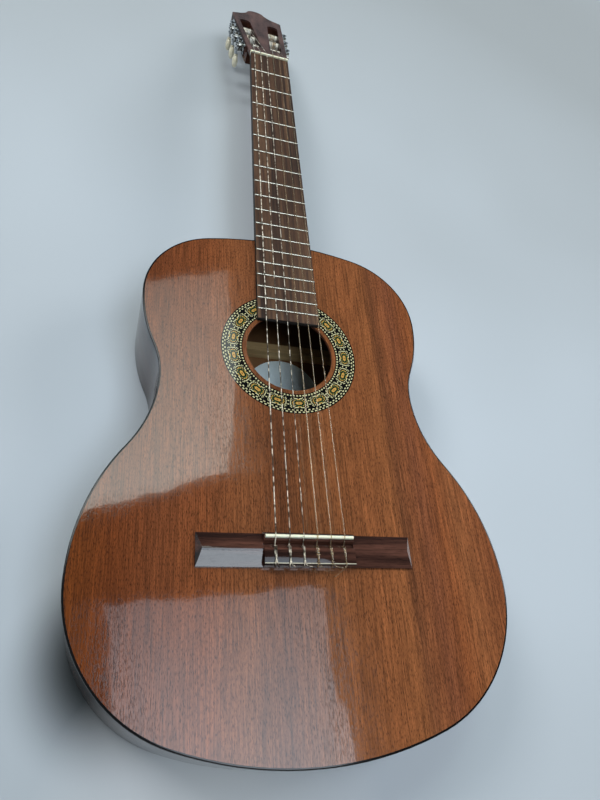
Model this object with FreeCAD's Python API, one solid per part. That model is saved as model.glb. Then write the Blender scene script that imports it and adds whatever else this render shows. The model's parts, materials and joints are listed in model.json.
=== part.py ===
"""Classical guitar with a fan-braced body, a slotted head and six worm-driven tuning machines.

Millimetres.  X runs across the strings, from the bass side (-X) to the treble side (+X).  Y runs along
the strings, towards the head.  Z is up: the back lies on z = 0 and the strings face up.  While the pieces
are made, y = 0 is the front face of the nut, where the scale length starts.  All are moved along Y when
they are saved, so that the origin ends up in the middle of the guitar's length.
"""
import FreeCAD, Part
import math
import os
from FreeCAD import Placement, Rotation, Vector

# ---- strings and scale ----
SCALE = 650.0                  # nut to saddle
JOINT_FRET = 12                # the body joins the neck at this fret
FRET_COUNT = 18
STRING_D = {1: 0.72, 2: 0.82, 3: 1.03, 4: 0.76, 5: 0.91, 6: 1.12}
NUT_SPREAD = 41.5              # outer strings, centre to centre, at the nut
SADDLE_SPREAD = 59.0           # the same at the saddle
STRING_GAP = 0.03              # air between a string and what it bears on
FIRST_FRET_GAP = 0.6           # air between a string and the plane of the frets at the nut
SADDLE_SETBACK = 0.5           # a little longer than the scale, to keep the fretted notes in tune

# ---- body outline, half widths across and distances along the centre line ----
BODY_LENGTH = 488.5
UPPER_HALF = 141.5             # widest place of the upper bout
UPPER_AT = 87.0                # its distance from the neck joint
UPPER_R = 80.0                 # radius of the upper bout's shoulder
UPPER_SHARE = 0.666            # how the curve to the waist is shared between bout and waist
WAIST_HALF = 123.0
WAIST_AT = 177.5
LOWER_SHARE = 0.60
LOWER_HALF = 183.5             # widest place of the lower bout
LOWER_AT = 130.0               # its distance from the tail
LOWER_R = 119.0                # radius of the lower bout's corner

# ---- body walls ----
BODY_DEPTH = 92.0
TOP_T = 2.6
BACK_T = 2.6
SIDE_T = 2.3
BIND_W = 1.8
BIND_H = 6.0
LINING_W = 5.5
LINING_H = 14.0
GRAFT_W = 9.0
BLOCK_W = 72.0
NECK_BLOCK_L = 28.0
TAIL_BLOCK_L = 18.0

# ---- soundhole and rosette ----
HOLE_R = 43.0
HOLE_AT = 140.0                # centre, from the neck joint
ROSETTE_IN = 47.0
ROSETTE_OUT = 67.5
ROSETTE_T = 1.3

# ---- braces ----
BAR_W = 8.0
BAR_H = 16.0
BAR_TIP_H = 4.0
BAR_TAPER = 34.0
BAR_GAP = 15.0                 # from the hole's edge to each harmonic bar
FAN_COUNT = 5
FAN_W = 6.0
FAN_H = 5.5
FAN_L = 205.0
FAN_TOP_STEP = 22.0
FAN_LOW_STEP = 44.0
FAN_TIP_H = 1.5
BACK_BRACE_W = 10.0
BACK_BRACE_H = 15.0
BACK_BRACE_AT = (85.0, 205.0, 345.0)
LABEL_R = 42.0
LABEL_X = 18.5                 # the label sits a little to the treble side
LABEL_AT = 134.0               # its middle, from the neck joint
LABEL_T = 0.3

# ---- neck ----
BOARD_W_NUT = 50.5
BOARD_W_JOINT = 60.5
BOARD_T = 5.0
BOARD_SHORT = 1.1              # how far short of the next fret's place the board ends
FRET_W = 2.2
FRET_H = 1.0
FRET_BEVEL = 0.8
TANG_W = 0.5
TANG_H = 1.8
NUT_T = 5.0
NUT_LIP = 0.45                 # how far the nut stands up beside a string
NUT_FALL = 1.4                 # how much the nut's top falls towards the head
NECK_D_NUT = 16.0
NECK_D_JOINT = 18.0
NECK_EDGE = 1.5                # straight edge beside the fingerboard
NECK_R = 11.0
HEEL_TOP_HALF = 29.0
HEEL_TOP_L = 78.0
HEEL_LOW_HALF = 14.0
HEEL_LOW_L = 25.0
HEEL_STEPS = 6
HEEL_CAP_T = 2.6

# ---- head ----
HEAD_TILT = 15.0
HEAD_HALF_NUT = 26.0
HEAD_HALF_TOP = 37.0
HEAD_CORNER_AT = 168.0
HEAD_L = 202.0
HEAD_T = 17.5
VENEER_T = 2.5
HEAD_JOINT_AT = 14.0           # where the neck meets the head block
HEAD_JOINT_R = 3.0
CREST_R = 12.5
CREST_JOIN = 15.0              # degrees above level where the crest's round meets its hollow
CREST_FOOT = (27.0, 174.0)
SLOT_W = 15.5
SLOT_WALL = 6.5                # wood between the slot and the side of the head
SLOT_FROM = 28.0
SLOT_TO = 143.0
RAMP_AIR = 0.8                 # room round a string in the channel that leads it into its slot

# ---- tuning machines ----
ROLLER_FIRST = 50.0
ROLLER_STEP = 35.0
ROLLER_DEPTH = 7.5             # axis below the head's wood face
ROLLER_R = 5.0
ROLLER_SEAT = 5.0              # how far the roller's tip enters the centre of the head
ROLLER_AIR = 0.3
ROLLER_TIP_AIR = 0.4
WRAP_AT = (0.42, 0.55, 0.72)   # where the strings wind in the slot, from the side of the head, by row
STRING_HOLE_D = 1.8
STUB_R = 2.2
SHAFT_FIT = 0.05
SQUARE = 2.8
PLATE_T = 1.4
PLATE_W = 16.0
PLATE_FROM = 33.0
PLATE_TO = 147.0
GEAR_TEETH = 14
GEAR_R = 6.0                   # pitch radius
GEAR_ADD = 0.7
GEAR_DED = 1.0
GEAR_T = 3.0
GEAR_AIR = 0.4
GEAR_HUB_R = 3.6
TOOTH_TIP = 0.6
TOOTH_ROOT = 1.3
GEAR_SCREW_R = 2.2
GEAR_SCREW_H = 1.2
WORM_R = 2.75                  # pitch radius
WORM_ADD = 0.65
WORM_CORE_R = 1.9
WORM_TURNS = 3.0
THREAD_TIP = 0.5
THREAD_ROOT = 0.95
WORM_AIR = 0.4                 # between the thread and the plate
MESH_AIR = 0.1
JOURNAL_R = 1.5
TAB_T = 1.3
TAB_AT = 6.3                   # inner face of each bearing tab, from the roller's level
TAB_W = 6.0
COLLAR_R = 2.4
BUTTON_FROM = 14.0             # from the roller's level down to the button
BUTTON_L = 18.0
BUTTON_W = 15.5
BUTTON_T = 8.0
BUTTON_NECK_R = 3.0
BUTTON_NECK_L = 3.0
SCREW_AT = (37.0, 67.5, 102.5, 143.0)
SCREW_HEAD_R = 2.4
SCREW_HEAD_H = 1.3
SCREW_R = 1.2
SCREW_L = 5.5
SCREW_FIT = 0.05
DRIVE_HALF = 0.3               # half the width of a screw's slot

# ---- bridge ----
BRIDGE_W = 184.0
BRIDGE_L = 27.0
BRIDGE_X = 2.5                 # the bridge stands this far from the centre line, to the treble side
BRIDGE_FRONT = 4.0             # from the bridge's front edge to the saddle's middle
WING_EDGE = 1.8
WING_RIDGE = 6.0
WING_TOP = 1.0                 # width of the flat along a wing's ridge
WING_BULGE = 0.57              # share of its rise that a wing's slope has gained halfway
WING_HIP = 4.5                 # length of the sloped end of a wing
BLOCK_HALF = 38.5
RIDGE_H = 8.6
RIDGE_L = 7.2
TROUGH_H = 3.0
TROUGH_TO = 12.6
TIE_H = 8.2
TIE_CROWN = 0.5
TIE_CROWN_AT = 20.0            # from the bridge's front edge
HOLE_H = 4.7
TIE_HOLE_D = 2.0
SADDLE_T = 2.6
SADDLE_L = 75.0
SADDLE_SHOWS = 2.4             # how far the saddle stands out of the bridge
SADDLE_SEAT = 3.5              # height of the slot's floor above the soundboard
TRIM_W = 0.7
TRIM_T = 0.5
TRIM_REAR = 1.3                # from the strip to the bridge's rear edge
TRIM_PROUD = 0.1
TIE_LOOP_AIR = 0.35
LOOP_SHIFT = 1.4
LOOP_END = 2.6                 # how far a string's end hangs in front of the tie block

# ---- places that follow ----
TOP_Z = BODY_DEPTH
BOARD_Z = TOP_Z + BOARD_T
FRET_Z = BOARD_Z + FRET_H
TILT = math.radians(HEAD_TILT)


def fret_y(number):
    """Place of a fret: each fret takes the same share of what is left of the string."""
    return -SCALE * (1.0 - 2.0 ** (-number / 12.0))


JOINT_Y = fret_y(JOINT_FRET)
TAIL_Y = JOINT_Y - BODY_LENGTH
HOLE_Y = JOINT_Y - HOLE_AT
BOARD_END = -fret_y(FRET_COUNT + 1) - BOARD_SHORT
SADDLE_Y = -SCALE - SADDLE_SETBACK
SADDLE_H = RIDGE_H + SADDLE_SHOWS
BRIDGE_Y = SADDLE_Y + BRIDGE_FRONT
HEAD_TIP_Y = NUT_T + HEAD_L * math.cos(TILT) + VENEER_T * math.sin(TILT)
SHIFT_Y = -(HEAD_TIP_Y + TAIL_Y) / 2.0
TAPER = math.atan2(HEAD_HALF_TOP - HEAD_HALF_NUT, HEAD_CORNER_AT)
HEAD_PLACE = Placement(Vector(0, NUT_T, TOP_Z), Rotation(Vector(1, 0, 0), -HEAD_TILT))
SIDE_PLACE = Placement(
    Vector(HEAD_HALF_NUT, 0, -ROLLER_DEPTH), Rotation(Vector(0, 0, 1), -math.degrees(TAPER)))
WORM_S = GEAR_R + WORM_R + MESH_AIR
GEAR_X = PLATE_T + WORM_R + WORM_ADD + WORM_AIR
WORM_PITCH = 2.0 * math.pi * GEAR_R / GEAR_TEETH


# ---- small helpers ----
def polygon(points):
    """Closed wire through the points."""
    return Part.makePolygon(points + [points[0]])


def prism(points, direction):
    """Solid swept from a flat outline of straight edges."""
    return Part.Face(polygon(points)).extrude(direction)


def box(x0, x1, y0, y1, z0, z1):
    """Box between two corners."""
    return Part.makeBox(x1 - x0, y1 - y0, z1 - z0, Vector(x0, y0, z0))


def line(a, b):
    """Straight edge."""
    return Part.LineSegment(a, b).toShape()


def arc(a, middle, b):
    """Round edge through three points."""
    return Part.Arc(a, middle, b).toShape()


def arc_about(cx, cy, radius, start, end, side=1.0):
    """Round edge in the XY plane about a centre, angles in radians; side -1 mirrors it across x = 0."""
    angles = (start, (start + end) / 2.0, end)
    points = [Vector(side * (cx + radius * math.cos(a)), cy + radius * math.sin(a), 0) for a in angles]
    return arc(*points)


def disc(x, y, z, radius, height):
    """Upright cylinder."""
    return Part.makeCylinder(radius, height, Vector(x, y, z))


def in_head(shape):
    """Take a shape from the head's own frame (y along the head, z out of its face) to the guitar's."""
    moved = shape.copy()
    moved.Placement = HEAD_PLACE.multiply(shape.Placement)
    return moved


def at_side(shape, side):
    """Take a shape from the treble machine's frame (x out of the side, y along it) to one side of the head."""
    moved = shape.copy()
    moved.Placement = SIDE_PLACE.multiply(shape.Placement)
    if side < 0:
        moved = moved.mirror(Vector(0, 0, 0), Vector(1, 0, 0))
    return in_head(moved)


def head_point(side, out, along, up):
    """Point of the machine's frame on one side of the head, in the guitar's frame."""
    local = SIDE_PLACE.multVec(Vector(out, along, up))
    return HEAD_PLACE.multVec(Vector(side * local.x, local.y, local.z))


def save(shape, name):
    """Write one sub-part, in its final place along Y."""
    moved = shape.copy()
    moved.translate(Vector(0, SHIFT_Y, 0))
    moved.exportStep("parts/" + name + ".step")
    state = "valid" if moved.isValid() else "BAD"
    print(name, len(moved.Solids), "solid(s)", round(moved.Volume, 2), "mm3", state)


# ---- body outline ----
def half_outline(inset, side):
    """Edges from the neck joint to the tail, along one side, set in by a wall."""
    shoulder_x = UPPER_HALF - UPPER_R
    shoulder_r = (shoulder_x ** 2 + UPPER_AT ** 2 - UPPER_R ** 2) / (2.0 * (UPPER_AT - UPPER_R))
    shoulder_end = math.atan2(shoulder_r - UPPER_AT, shoulder_x)
    tail_x = LOWER_HALF - LOWER_R
    tail_r = (tail_x ** 2 + LOWER_AT ** 2 - LOWER_R ** 2) / (2.0 * (LOWER_AT - LOWER_R))
    tail_start = math.atan2(LOWER_AT - tail_r, tail_x)
    lower_y = JOINT_Y - BODY_LENGTH + LOWER_AT
    waist_y = JOINT_Y - WAIST_AT
    upper_y = JOINT_Y - UPPER_AT
    up_bout, up_waist, up_turn = s_curve(UPPER_HALF - WAIST_HALF, WAIST_AT - UPPER_AT, UPPER_SHARE)
    low_bout, low_waist, low_turn = s_curve(LOWER_HALF - WAIST_HALF, waist_y - lower_y, LOWER_SHARE)
    turn = math.pi
    return [
        arc_about(0, JOINT_Y - shoulder_r, shoulder_r - inset, turn / 2, shoulder_end, side),
        arc_about(shoulder_x, upper_y, UPPER_R - inset, shoulder_end, 0, side),
        arc_about(UPPER_HALF - up_bout, upper_y, up_bout - inset, 0, -up_turn, side),
        arc_about(WAIST_HALF + up_waist, waist_y, up_waist + inset, turn - up_turn, turn, side),
        arc_about(WAIST_HALF + low_waist, waist_y, low_waist + inset, turn, turn + low_turn, side),
        arc_about(LOWER_HALF - low_bout, lower_y, low_bout - inset, low_turn, 0, side),
        arc_about(LOWER_HALF - LOWER_R, lower_y, LOWER_R - inset, 0, tail_start, side),
        arc_about(0, TAIL_Y + tail_r, tail_r - inset, tail_start, -turn / 2, side),
    ]


def s_curve(across, along, share):
    """Two tangent arcs between two places where the outline runs straight along Y."""
    total = (across ** 2 + along ** 2) / (2.0 * across)
    return total * share, total * (1.0 - share), math.atan2(along, total - across)


def body_prism(inset, z0, z1):
    """Solid of the body's outline, set in by a wall, between two heights."""
    edges = half_outline(inset, 1.0) + half_outline(inset, -1.0)
    wire = Part.Wire(Part.__sortEdges__(edges))
    solid = Part.Face(wire).extrude(Vector(0, 0, z1 - z0))
    solid.translate(Vector(0, 0, z0))
    return solid


def ring(outer, inner, z0, z1):
    """Wall that follows the outline, between two insets."""
    return body_prism(outer, z0, z1).cut(body_prism(inner, z0 - 1, z1 + 1))


# ---- body ----
def soundboard():
    """Top plate with the hole and the shallow channel for the rosette."""
    plate = body_prism(BIND_W, TOP_Z - TOP_T, TOP_Z)
    channel = disc(0, HOLE_Y, TOP_Z - ROSETTE_T, ROSETTE_OUT, ROSETTE_T + 1)
    channel = channel.cut(disc(0, HOLE_Y, TOP_Z - ROSETTE_T - 1, ROSETTE_IN, ROSETTE_T + 3))
    return plate.cut(disc(0, HOLE_Y, TOP_Z - TOP_T - 1, HOLE_R, TOP_T + 2)).cut(channel)


def rosette():
    """Ring that fills the channel, flush with the top."""
    outer = disc(0, HOLE_Y, TOP_Z - ROSETTE_T, ROSETTE_OUT, ROSETTE_T)
    return outer.cut(disc(0, HOLE_Y, TOP_Z - ROSETTE_T - 1, ROSETTE_IN, ROSETTE_T + 2))


def back_plate():
    """Flat back."""
    return body_prism(BIND_W, 0, BACK_T)


def rim():
    """Both sides in one, with the ledges for the bindings cut away."""
    wall = ring(0, SIDE_T, BACK_T, TOP_Z - TOP_T)
    top_ledge = ring(-1, BIND_W, TOP_Z - BIND_H, TOP_Z)
    back_ledge = ring(-1, BIND_W, 0, BIND_H)
    return wall.cut(top_ledge).cut(back_ledge)


def graft_box():
    """Space of the strip that closes the seam at the tail."""
    return box(-GRAFT_W / 2, GRAFT_W / 2, TAIL_Y - 1, TAIL_Y + TAIL_BLOCK_L, 0, TOP_Z)


def side_wall(side):
    """One bent side, from the neck joint to the end graft."""
    far = LOWER_HALF + 10
    half = box(min(0, side * far), max(0, side * far), TAIL_Y - 1, JOINT_Y + 1, 0, TOP_Z)
    return rim().common(half).cut(graft_box())


def block(y0, y1):
    """Block glued inside the rim at one end of the body."""
    raw = box(-BLOCK_W / 2, BLOCK_W / 2, y0, y1, BACK_T, TOP_Z - TOP_T)
    return raw.common(body_prism(SIDE_T, 0, TOP_Z))


def neck_block():
    return block(JOINT_Y - SIDE_T - NECK_BLOCK_L, JOINT_Y)


def tail_block():
    return block(TAIL_Y, TAIL_Y + SIDE_T + TAIL_BLOCK_L)


def linings(z0):
    """Two strips along the rim that the plate is glued to; they stop at the end blocks."""
    strip = ring(SIDE_T, SIDE_T + LINING_W, z0, z0 + LINING_H)
    keep_out = box(-BLOCK_W / 2, BLOCK_W / 2, TAIL_Y - 1, JOINT_Y + 1, z0 - 1, z0 + LINING_H + 1)
    return strip.cut(keep_out)


def binding(z0):
    """Strip let into the corner between side and plate, all round."""
    return ring(0, BIND_W, z0, z0 + BIND_H)


# ---- braces ----
def cross_bar(y, half, width, height, tip, base_z, up):
    """Bar across the body, thinner at both ends; up is -1 when it hangs under the top."""
    taper = min(BAR_TAPER, half / 2)
    profile = [(-half, 0), (half, 0), (half, tip), (half - taper, height), (taper - half, height),
               (-half, tip)]
    points = [Vector(x, y - width / 2, base_z + up * z) for x, z in profile]
    bar = prism(points, Vector(0, width, 0))
    return bar.common(body_prism(SIDE_T + LINING_W, 0, TOP_Z))


def harmonic_bars():
    """One bar on each side of the soundhole."""
    reach = HOLE_R + BAR_GAP
    bars = [
        cross_bar(HOLE_Y + side * reach, half, BAR_W, BAR_H, BAR_TIP_H, TOP_Z - TOP_T, -1)
        for side, half in ((1, UPPER_HALF), (-1, WAIST_HALF + LINING_W))
    ]
    return Part.makeCompound(bars)


def fan_braces():
    """Struts that spread from the lower harmonic bar under the bridge."""
    start_y = HOLE_Y - HOLE_R - BAR_GAP - BAR_W
    under = TOP_Z - TOP_T
    fans = []
    for i in range(FAN_COUNT):
        place = i - (FAN_COUNT - 1) / 2.0
        top_x = place * FAN_TOP_STEP
        low_x = place * FAN_LOW_STEP
        profile = [(0, 0), (FAN_L, 0), (FAN_L, -FAN_TIP_H), (FAN_L * 0.8, -FAN_H), (FAN_L * 0.2, -FAN_H),
                   (0, -FAN_TIP_H)]
        strut = prism([Vector(-FAN_W / 2, -y, z) for y, z in profile], Vector(FAN_W, 0, 0))
        strut.rotate(Vector(0, 0, 0), Vector(0, 0, 1), math.degrees(math.atan2(low_x - top_x, FAN_L)))
        strut.translate(Vector(top_x, start_y, under))
        fans.append(strut)
    return Part.makeCompound(fans)


def back_braces():
    """Three bars across the inside of the back."""
    bars = []
    for distance in BACK_BRACE_AT:
        y = JOINT_Y - distance
        bars.append(cross_bar(y, LOWER_HALF, BACK_BRACE_W, BACK_BRACE_H, BACK_BRACE_H, BACK_T, 1))
    return Part.makeCompound(bars)


def label():
    """Bare paper disc on the inside of the back."""
    return disc(LABEL_X, JOINT_Y - LABEL_AT, BACK_T, LABEL_R, LABEL_T)


# ---- strings ----
def string_x(number, spread):
    """Place across of a string; number 1 is the thinnest, on the treble side."""
    return spread / 2.0 - (number - 1) * spread / 5.0


def nut_z(number):
    """Height of a string's middle at the nut."""
    return FRET_Z + FIRST_FRET_GAP + STRING_D[number] / 2.0


def saddle_z(number):
    """Height of a string's middle on the saddle."""
    return TOP_Z + SADDLE_H + STRING_GAP + STRING_D[number] / 2.0


def machine_of(number):
    """Side of the head (+1 treble) and place in the row (0 nearest the nut) of a string's machine."""
    return (1, number - 1) if number <= 3 else (-1, 6 - number)


def roller_s(row):
    """Place of a roller along the side of the head."""
    return ROLLER_FIRST + row * ROLLER_STEP


def rounded_path(points, radii):
    """Straight runs joined by tangent arcs; radii are for the points between the two ends."""
    edges = []
    start = points[0]
    for before, corner, after, radius in zip(points, points[1:], points[2:], radii):
        back = (before - corner).normalize()
        ahead = (after - corner).normalize()
        half = math.acos(max(-1.0, min(1.0, back.dot(ahead)))) / 2.0
        reach = radius / math.tan(half)
        enter = corner + back * reach
        leave = corner + ahead * reach
        centre = corner + (back + ahead).normalize() * (radius / math.sin(half))
        middle = centre + (corner - centre).normalize() * radius
        edges.append(line(start, enter))
        edges.append(arc(enter, middle, leave))
        start = leave
    edges.append(line(start, points[-1]))
    return edges


def wrap_on_roller(number, nut_point):
    """Tangent point on the roller and the arc that goes round it, for the string that comes from the nut."""
    side, row = machine_of(number)
    out = -(SLOT_WALL + SLOT_W * WRAP_AT[row])
    centre = head_point(side, out, roller_s(row), 0)
    axis = (head_point(side, out + 1, roller_s(row), 0) - centre).normalize()
    radius = ROLLER_R + ROLLER_AIR + STRING_D[number] / 2.0
    flat = nut_point - axis * (nut_point - centre).dot(axis)
    away = flat - centre
    reach = away.Length
    away.normalize()
    up = away.cross(axis) * side
    lean = math.acos(radius / reach)
    first = away * math.cos(lean) + up * math.sin(lean)
    tangent = centre + first * radius
    onward = (tangent - nut_point).normalize()

    def on_wrap(degrees):
        a = math.radians(degrees)
        return centre + first * (radius * math.cos(a)) + onward * (radius * math.sin(a))

    wrap = [arc(on_wrap(0), on_wrap(75), on_wrap(150)), arc(on_wrap(150), on_wrap(225), on_wrap(300))]
    return tangent, wrap


def string_path(number):
    """Route of a string: round the roller, over nut and saddle, through the tie block and back over it."""
    radius = STRING_D[number] / 2.0
    x_nut = string_x(number, NUT_SPREAD)
    x_end = BRIDGE_X + string_x(number, SADDLE_SPREAD)
    nut = Vector(x_nut, NUT_T / 2, nut_z(number))
    tangent, wrap = wrap_on_roller(number, nut)
    hole_z = TOP_Z + HOLE_H
    hole_y = BRIDGE_Y - TROUGH_TO + 1.0
    bend_r = SADDLE_T / 2 + STRING_GAP + radius
    drop = math.atan2(saddle_z(number) - hole_z, SADDLE_Y - hole_y)
    saddle = Vector(x_end, SADDLE_Y - bend_r * math.tan(drop / 2), saddle_z(number))
    rear = BRIDGE_Y - BRIDGE_L - radius - TIE_LOOP_AIR
    over = TOP_Z + TIE_H + TIE_CROWN + radius + TIE_LOOP_AIR
    front = BRIDGE_Y - TROUGH_TO + radius + TIE_LOOP_AIR
    points = [
        tangent,
        nut,
        saddle,
        Vector(x_end, hole_y, hole_z),
        Vector(x_end, rear, hole_z),
        Vector(x_end + LOOP_SHIFT, rear, over),
        Vector(x_end + LOOP_SHIFT, front, over),
        Vector(x_end + LOOP_SHIFT, front, over - LOOP_END),
    ]
    radii = [8.0, bend_r, 2.0, 1.5, 1.5, 1.2]
    return wrap[::-1] + rounded_path(points, radii)


def tube(edges, radius):
    """Round solid along a route of tangent edges."""
    wire = Part.Wire(Part.__sortEdges__(edges))
    first = wire.OrderedEdges[0]
    start = first.valueAt(first.FirstParameter)
    heading = first.tangentAt(first.FirstParameter)
    if first.Orientation == "Reversed":
        start = first.valueAt(first.LastParameter)
        heading = first.tangentAt(first.LastParameter)
    profile = Part.Wire([Part.Circle(start, heading, radius).toShape()])
    return wire.makePipeShell([profile], True, False), wire.Length


def string(number):
    """One string; its volume is compared with its section times its length."""
    radius = STRING_D[number] / 2.0
    solid, length = tube(string_path(number), radius)
    print("string", number, "length", round(length, 1), "volume / (section x length)",
          round(solid.Volume / (math.pi * radius ** 2 * length), 4))
    return solid


def string_groove(number, y0, y1):
    """Room that a string needs between two places along Y, open at the top."""
    radius = STRING_D[number] / 2.0 + STRING_GAP
    solid, _ = tube(string_path(number)[2:5], radius)
    return solid.common(box(-BOARD_W_NUT, BOARD_W_NUT, y0, y1, TOP_Z, TOP_Z + 40))


# ---- neck ----
def board_half(y):
    """Half width of the fingerboard at a place along Y."""
    return (BOARD_W_NUT + (BOARD_W_JOINT - BOARD_W_NUT) * y / JOINT_Y) / 2.0


def neck_section(half, depth, corner):
    """Closed outline of the neck across: flat top, straight edges, round corners and a round back."""
    low = depth - NECK_EDGE
    back_r = ((half - corner) ** 2 + low ** 2 - corner ** 2) / (2.0 * (low - corner))
    lean = math.atan2(half - corner, back_r - low)
    meet_x = (half - corner) + corner * math.sin(lean)
    meet_z = -NECK_EDGE - corner * math.cos(lean)
    mid = (math.pi / 2 - lean) / 2
    mid_x = (half - corner) + corner * math.cos(mid)
    mid_z = -NECK_EDGE - corner * math.sin(mid)
    return Part.Wire([
        line(Vector(-half, 0, 0), Vector(half, 0, 0)),
        line(Vector(half, 0, 0), Vector(half, 0, -NECK_EDGE)),
        arc(Vector(half, 0, -NECK_EDGE), Vector(mid_x, 0, mid_z), Vector(meet_x, 0, meet_z)),
        arc(Vector(meet_x, 0, meet_z), Vector(0, 0, -depth), Vector(-meet_x, 0, meet_z)),
        arc(Vector(-meet_x, 0, meet_z), Vector(-mid_x, 0, mid_z), Vector(-half, 0, -NECK_EDGE)),
        line(Vector(-half, 0, -NECK_EDGE), Vector(-half, 0, 0)),
    ])


def section_at(y, half, depth, corner):
    """Neck section stood up at a place along Y."""
    wire = neck_section(half, depth, corner)
    wire.translate(Vector(0, y, TOP_Z))
    return wire


def heel_outline(share):
    """Half ellipse across the heel; share runs from 0 under the fingerboard to 1 at the heel cap."""
    half = HEEL_LOW_HALF + (HEEL_TOP_HALF - HEEL_LOW_HALF) * (1.0 - share) ** 1.4
    length = HEEL_LOW_L + (HEEL_TOP_L - HEEL_LOW_L) * (1.0 - share) ** 3.0
    z = HEEL_CAP_T + (TOP_Z - HEEL_CAP_T) * (1.0 - share)
    root = JOINT_Y - SIDE_T
    centre = Vector(0, root, z)
    if length > half:
        curve = Part.Ellipse(Vector(0, root + length, z), Vector(-half, root, z), centre)
        bow = Part.ArcOfEllipse(curve, -math.pi / 2, math.pi / 2).toShape()
    else:
        curve = Part.Ellipse(Vector(half, root, z), Vector(0, root + length, z), centre)
        bow = Part.ArcOfEllipse(curve, 0, math.pi).toShape()
    ends = [v.Point for v in bow.Vertexes]
    return Part.Wire(Part.__sortEdges__([bow, line(ends[1], ends[0])]))


def neck():
    """Neck with its heel, up to the plane where the head block is glued on."""
    near = section_at(NUT_T, board_half(0), NECK_D_NUT, NECK_R)
    far = section_at(JOINT_Y - SIDE_T, board_half(JOINT_Y), NECK_D_JOINT, NECK_R)
    shaft = Part.makeLoft([far, near], True, True)
    head_end = neck_section(head_half(HEAD_JOINT_AT), HEAD_T, HEAD_JOINT_R)
    head_end.translate(Vector(0, HEAD_JOINT_AT, 0))
    flare = Part.makeLoft([near, in_head(head_end)], True, True)
    heel = Part.makeLoft([heel_outline(i / HEEL_STEPS) for i in range(HEEL_STEPS + 1)], True, False)
    whole = shaft.fuse(heel).fuse(flare).removeSplitter()
    for number in STRING_D:
        whole = whole.cut(string_ramp(number))
    return whole.cut(body_prism(0, -1, TOP_Z + 1))


def heel_cap():
    """Thin plate under the heel, level with the back."""
    face = Part.Face(heel_outline(1.0))
    return face.extrude(Vector(0, 0, -HEEL_CAP_T)).cut(body_prism(0, -1, TOP_Z))


def fret_slot(number):
    """Sawn slot for one fret's tang."""
    y = fret_y(number)
    half = board_half(y)
    return box(-half - 1, half + 1, y - TANG_W / 2, y + TANG_W / 2, BOARD_Z - TANG_H - 0.2, BOARD_Z + 1)


def fingerboard():
    """Flat tapered board with its fret slots."""
    near = board_half(0)
    far = board_half(-BOARD_END)
    points = [Vector(-near, 0, TOP_Z), Vector(near, 0, TOP_Z), Vector(far, -BOARD_END, TOP_Z),
              Vector(-far, -BOARD_END, TOP_Z)]
    slots = [fret_slot(n) for n in range(1, FRET_COUNT + 1)]
    return prism(points, Vector(0, 0, BOARD_T)).cut(slots)


def fret(number):
    """One fret: a low round crown on a tang, with bevelled ends."""
    y = fret_y(number)
    half = board_half(y + FRET_W / 2)
    crown = FRET_W / 2
    tang = TANG_W / 2
    outline = Part.Wire([
        arc(Vector(-half, y - crown, BOARD_Z), Vector(-half, y, FRET_Z), Vector(-half, y + crown, BOARD_Z)),
        line(Vector(-half, y + crown, BOARD_Z), Vector(-half, y + tang, BOARD_Z)),
        line(Vector(-half, y + tang, BOARD_Z), Vector(-half, y + tang, BOARD_Z - TANG_H)),
        line(Vector(-half, y + tang, BOARD_Z - TANG_H), Vector(-half, y - tang, BOARD_Z - TANG_H)),
        line(Vector(-half, y - tang, BOARD_Z - TANG_H), Vector(-half, y - tang, BOARD_Z)),
        line(Vector(-half, y - tang, BOARD_Z), Vector(-half, y - crown, BOARD_Z)),
    ])
    bar = Part.Face(outline).extrude(Vector(2 * half, 0, 0))
    low = BOARD_Z - TANG_H - 1
    high = FRET_Z + 1
    slope = FRET_BEVEL * (high - BOARD_Z) / FRET_H
    ends = [(-half, low), (half, low), (half, BOARD_Z), (half - slope, high), (slope - half, high),
            (-half, BOARD_Z)]
    return bar.common(prism([Vector(x, y - FRET_W, z) for x, z in ends], Vector(0, 2 * FRET_W, 0)))


def nut():
    """Bone nut with six grooves."""
    half = BOARD_W_NUT / 2
    top = FRET_Z + FIRST_FRET_GAP + NUT_LIP
    profile = [(0, TOP_Z), (0, top), (NUT_T * 0.35, top), (NUT_T, top - NUT_FALL), (NUT_T, TOP_Z)]
    bar = prism([Vector(-half, y, z) for y, z in profile], Vector(2 * half, 0, 0))
    grooves = [string_groove(number, -1, NUT_T + 1) for number in STRING_D]
    return bar.cut(grooves)


# ---- head ----
def head_half(along):
    """Half width of the head at a place along it."""
    return HEAD_HALF_NUT + along * math.tan(TAPER)


def head_blank(start, z0, z1):
    """Solid of the head's outline in its own frame, from a place along it to the crest."""
    join = math.radians(CREST_JOIN)
    crest_y = HEAD_L - CREST_R
    join_x = CREST_R * math.cos(join)
    join_y = crest_y + CREST_R * math.sin(join)
    foot_x, foot_y = CREST_FOOT
    out_x, out_y = math.cos(join), math.sin(join)
    gap_x, gap_y = join_x - foot_x, join_y - foot_y
    hollow = -(gap_x ** 2 + gap_y ** 2) / (2.0 * (gap_x * out_x + gap_y * out_y))
    hollow_x, hollow_y = join_x + hollow * out_x, join_y + hollow * out_y
    begin = math.pi + join
    finish = math.atan2(foot_y - hollow_y, foot_x - hollow_x) % (2 * math.pi)
    edges = [
        line(Vector(-head_half(start), start, 0), Vector(head_half(start), start, 0)),
        arc_about(0, crest_y, CREST_R, join, math.pi - join),
    ]
    for side in (1.0, -1.0):
        corner = Vector(side * HEAD_HALF_TOP, HEAD_CORNER_AT, 0)
        edges.append(line(Vector(side * head_half(start), start, 0), corner))
        edges.append(line(corner, Vector(side * foot_x, foot_y, 0)))
        edges.append(arc_about(hollow_x, hollow_y, hollow, begin, finish, side))
    solid = Part.Face(Part.Wire(Part.__sortEdges__(edges))).extrude(Vector(0, 0, z1 - z0))
    solid.translate(Vector(0, 0, z0))
    return solid


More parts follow.
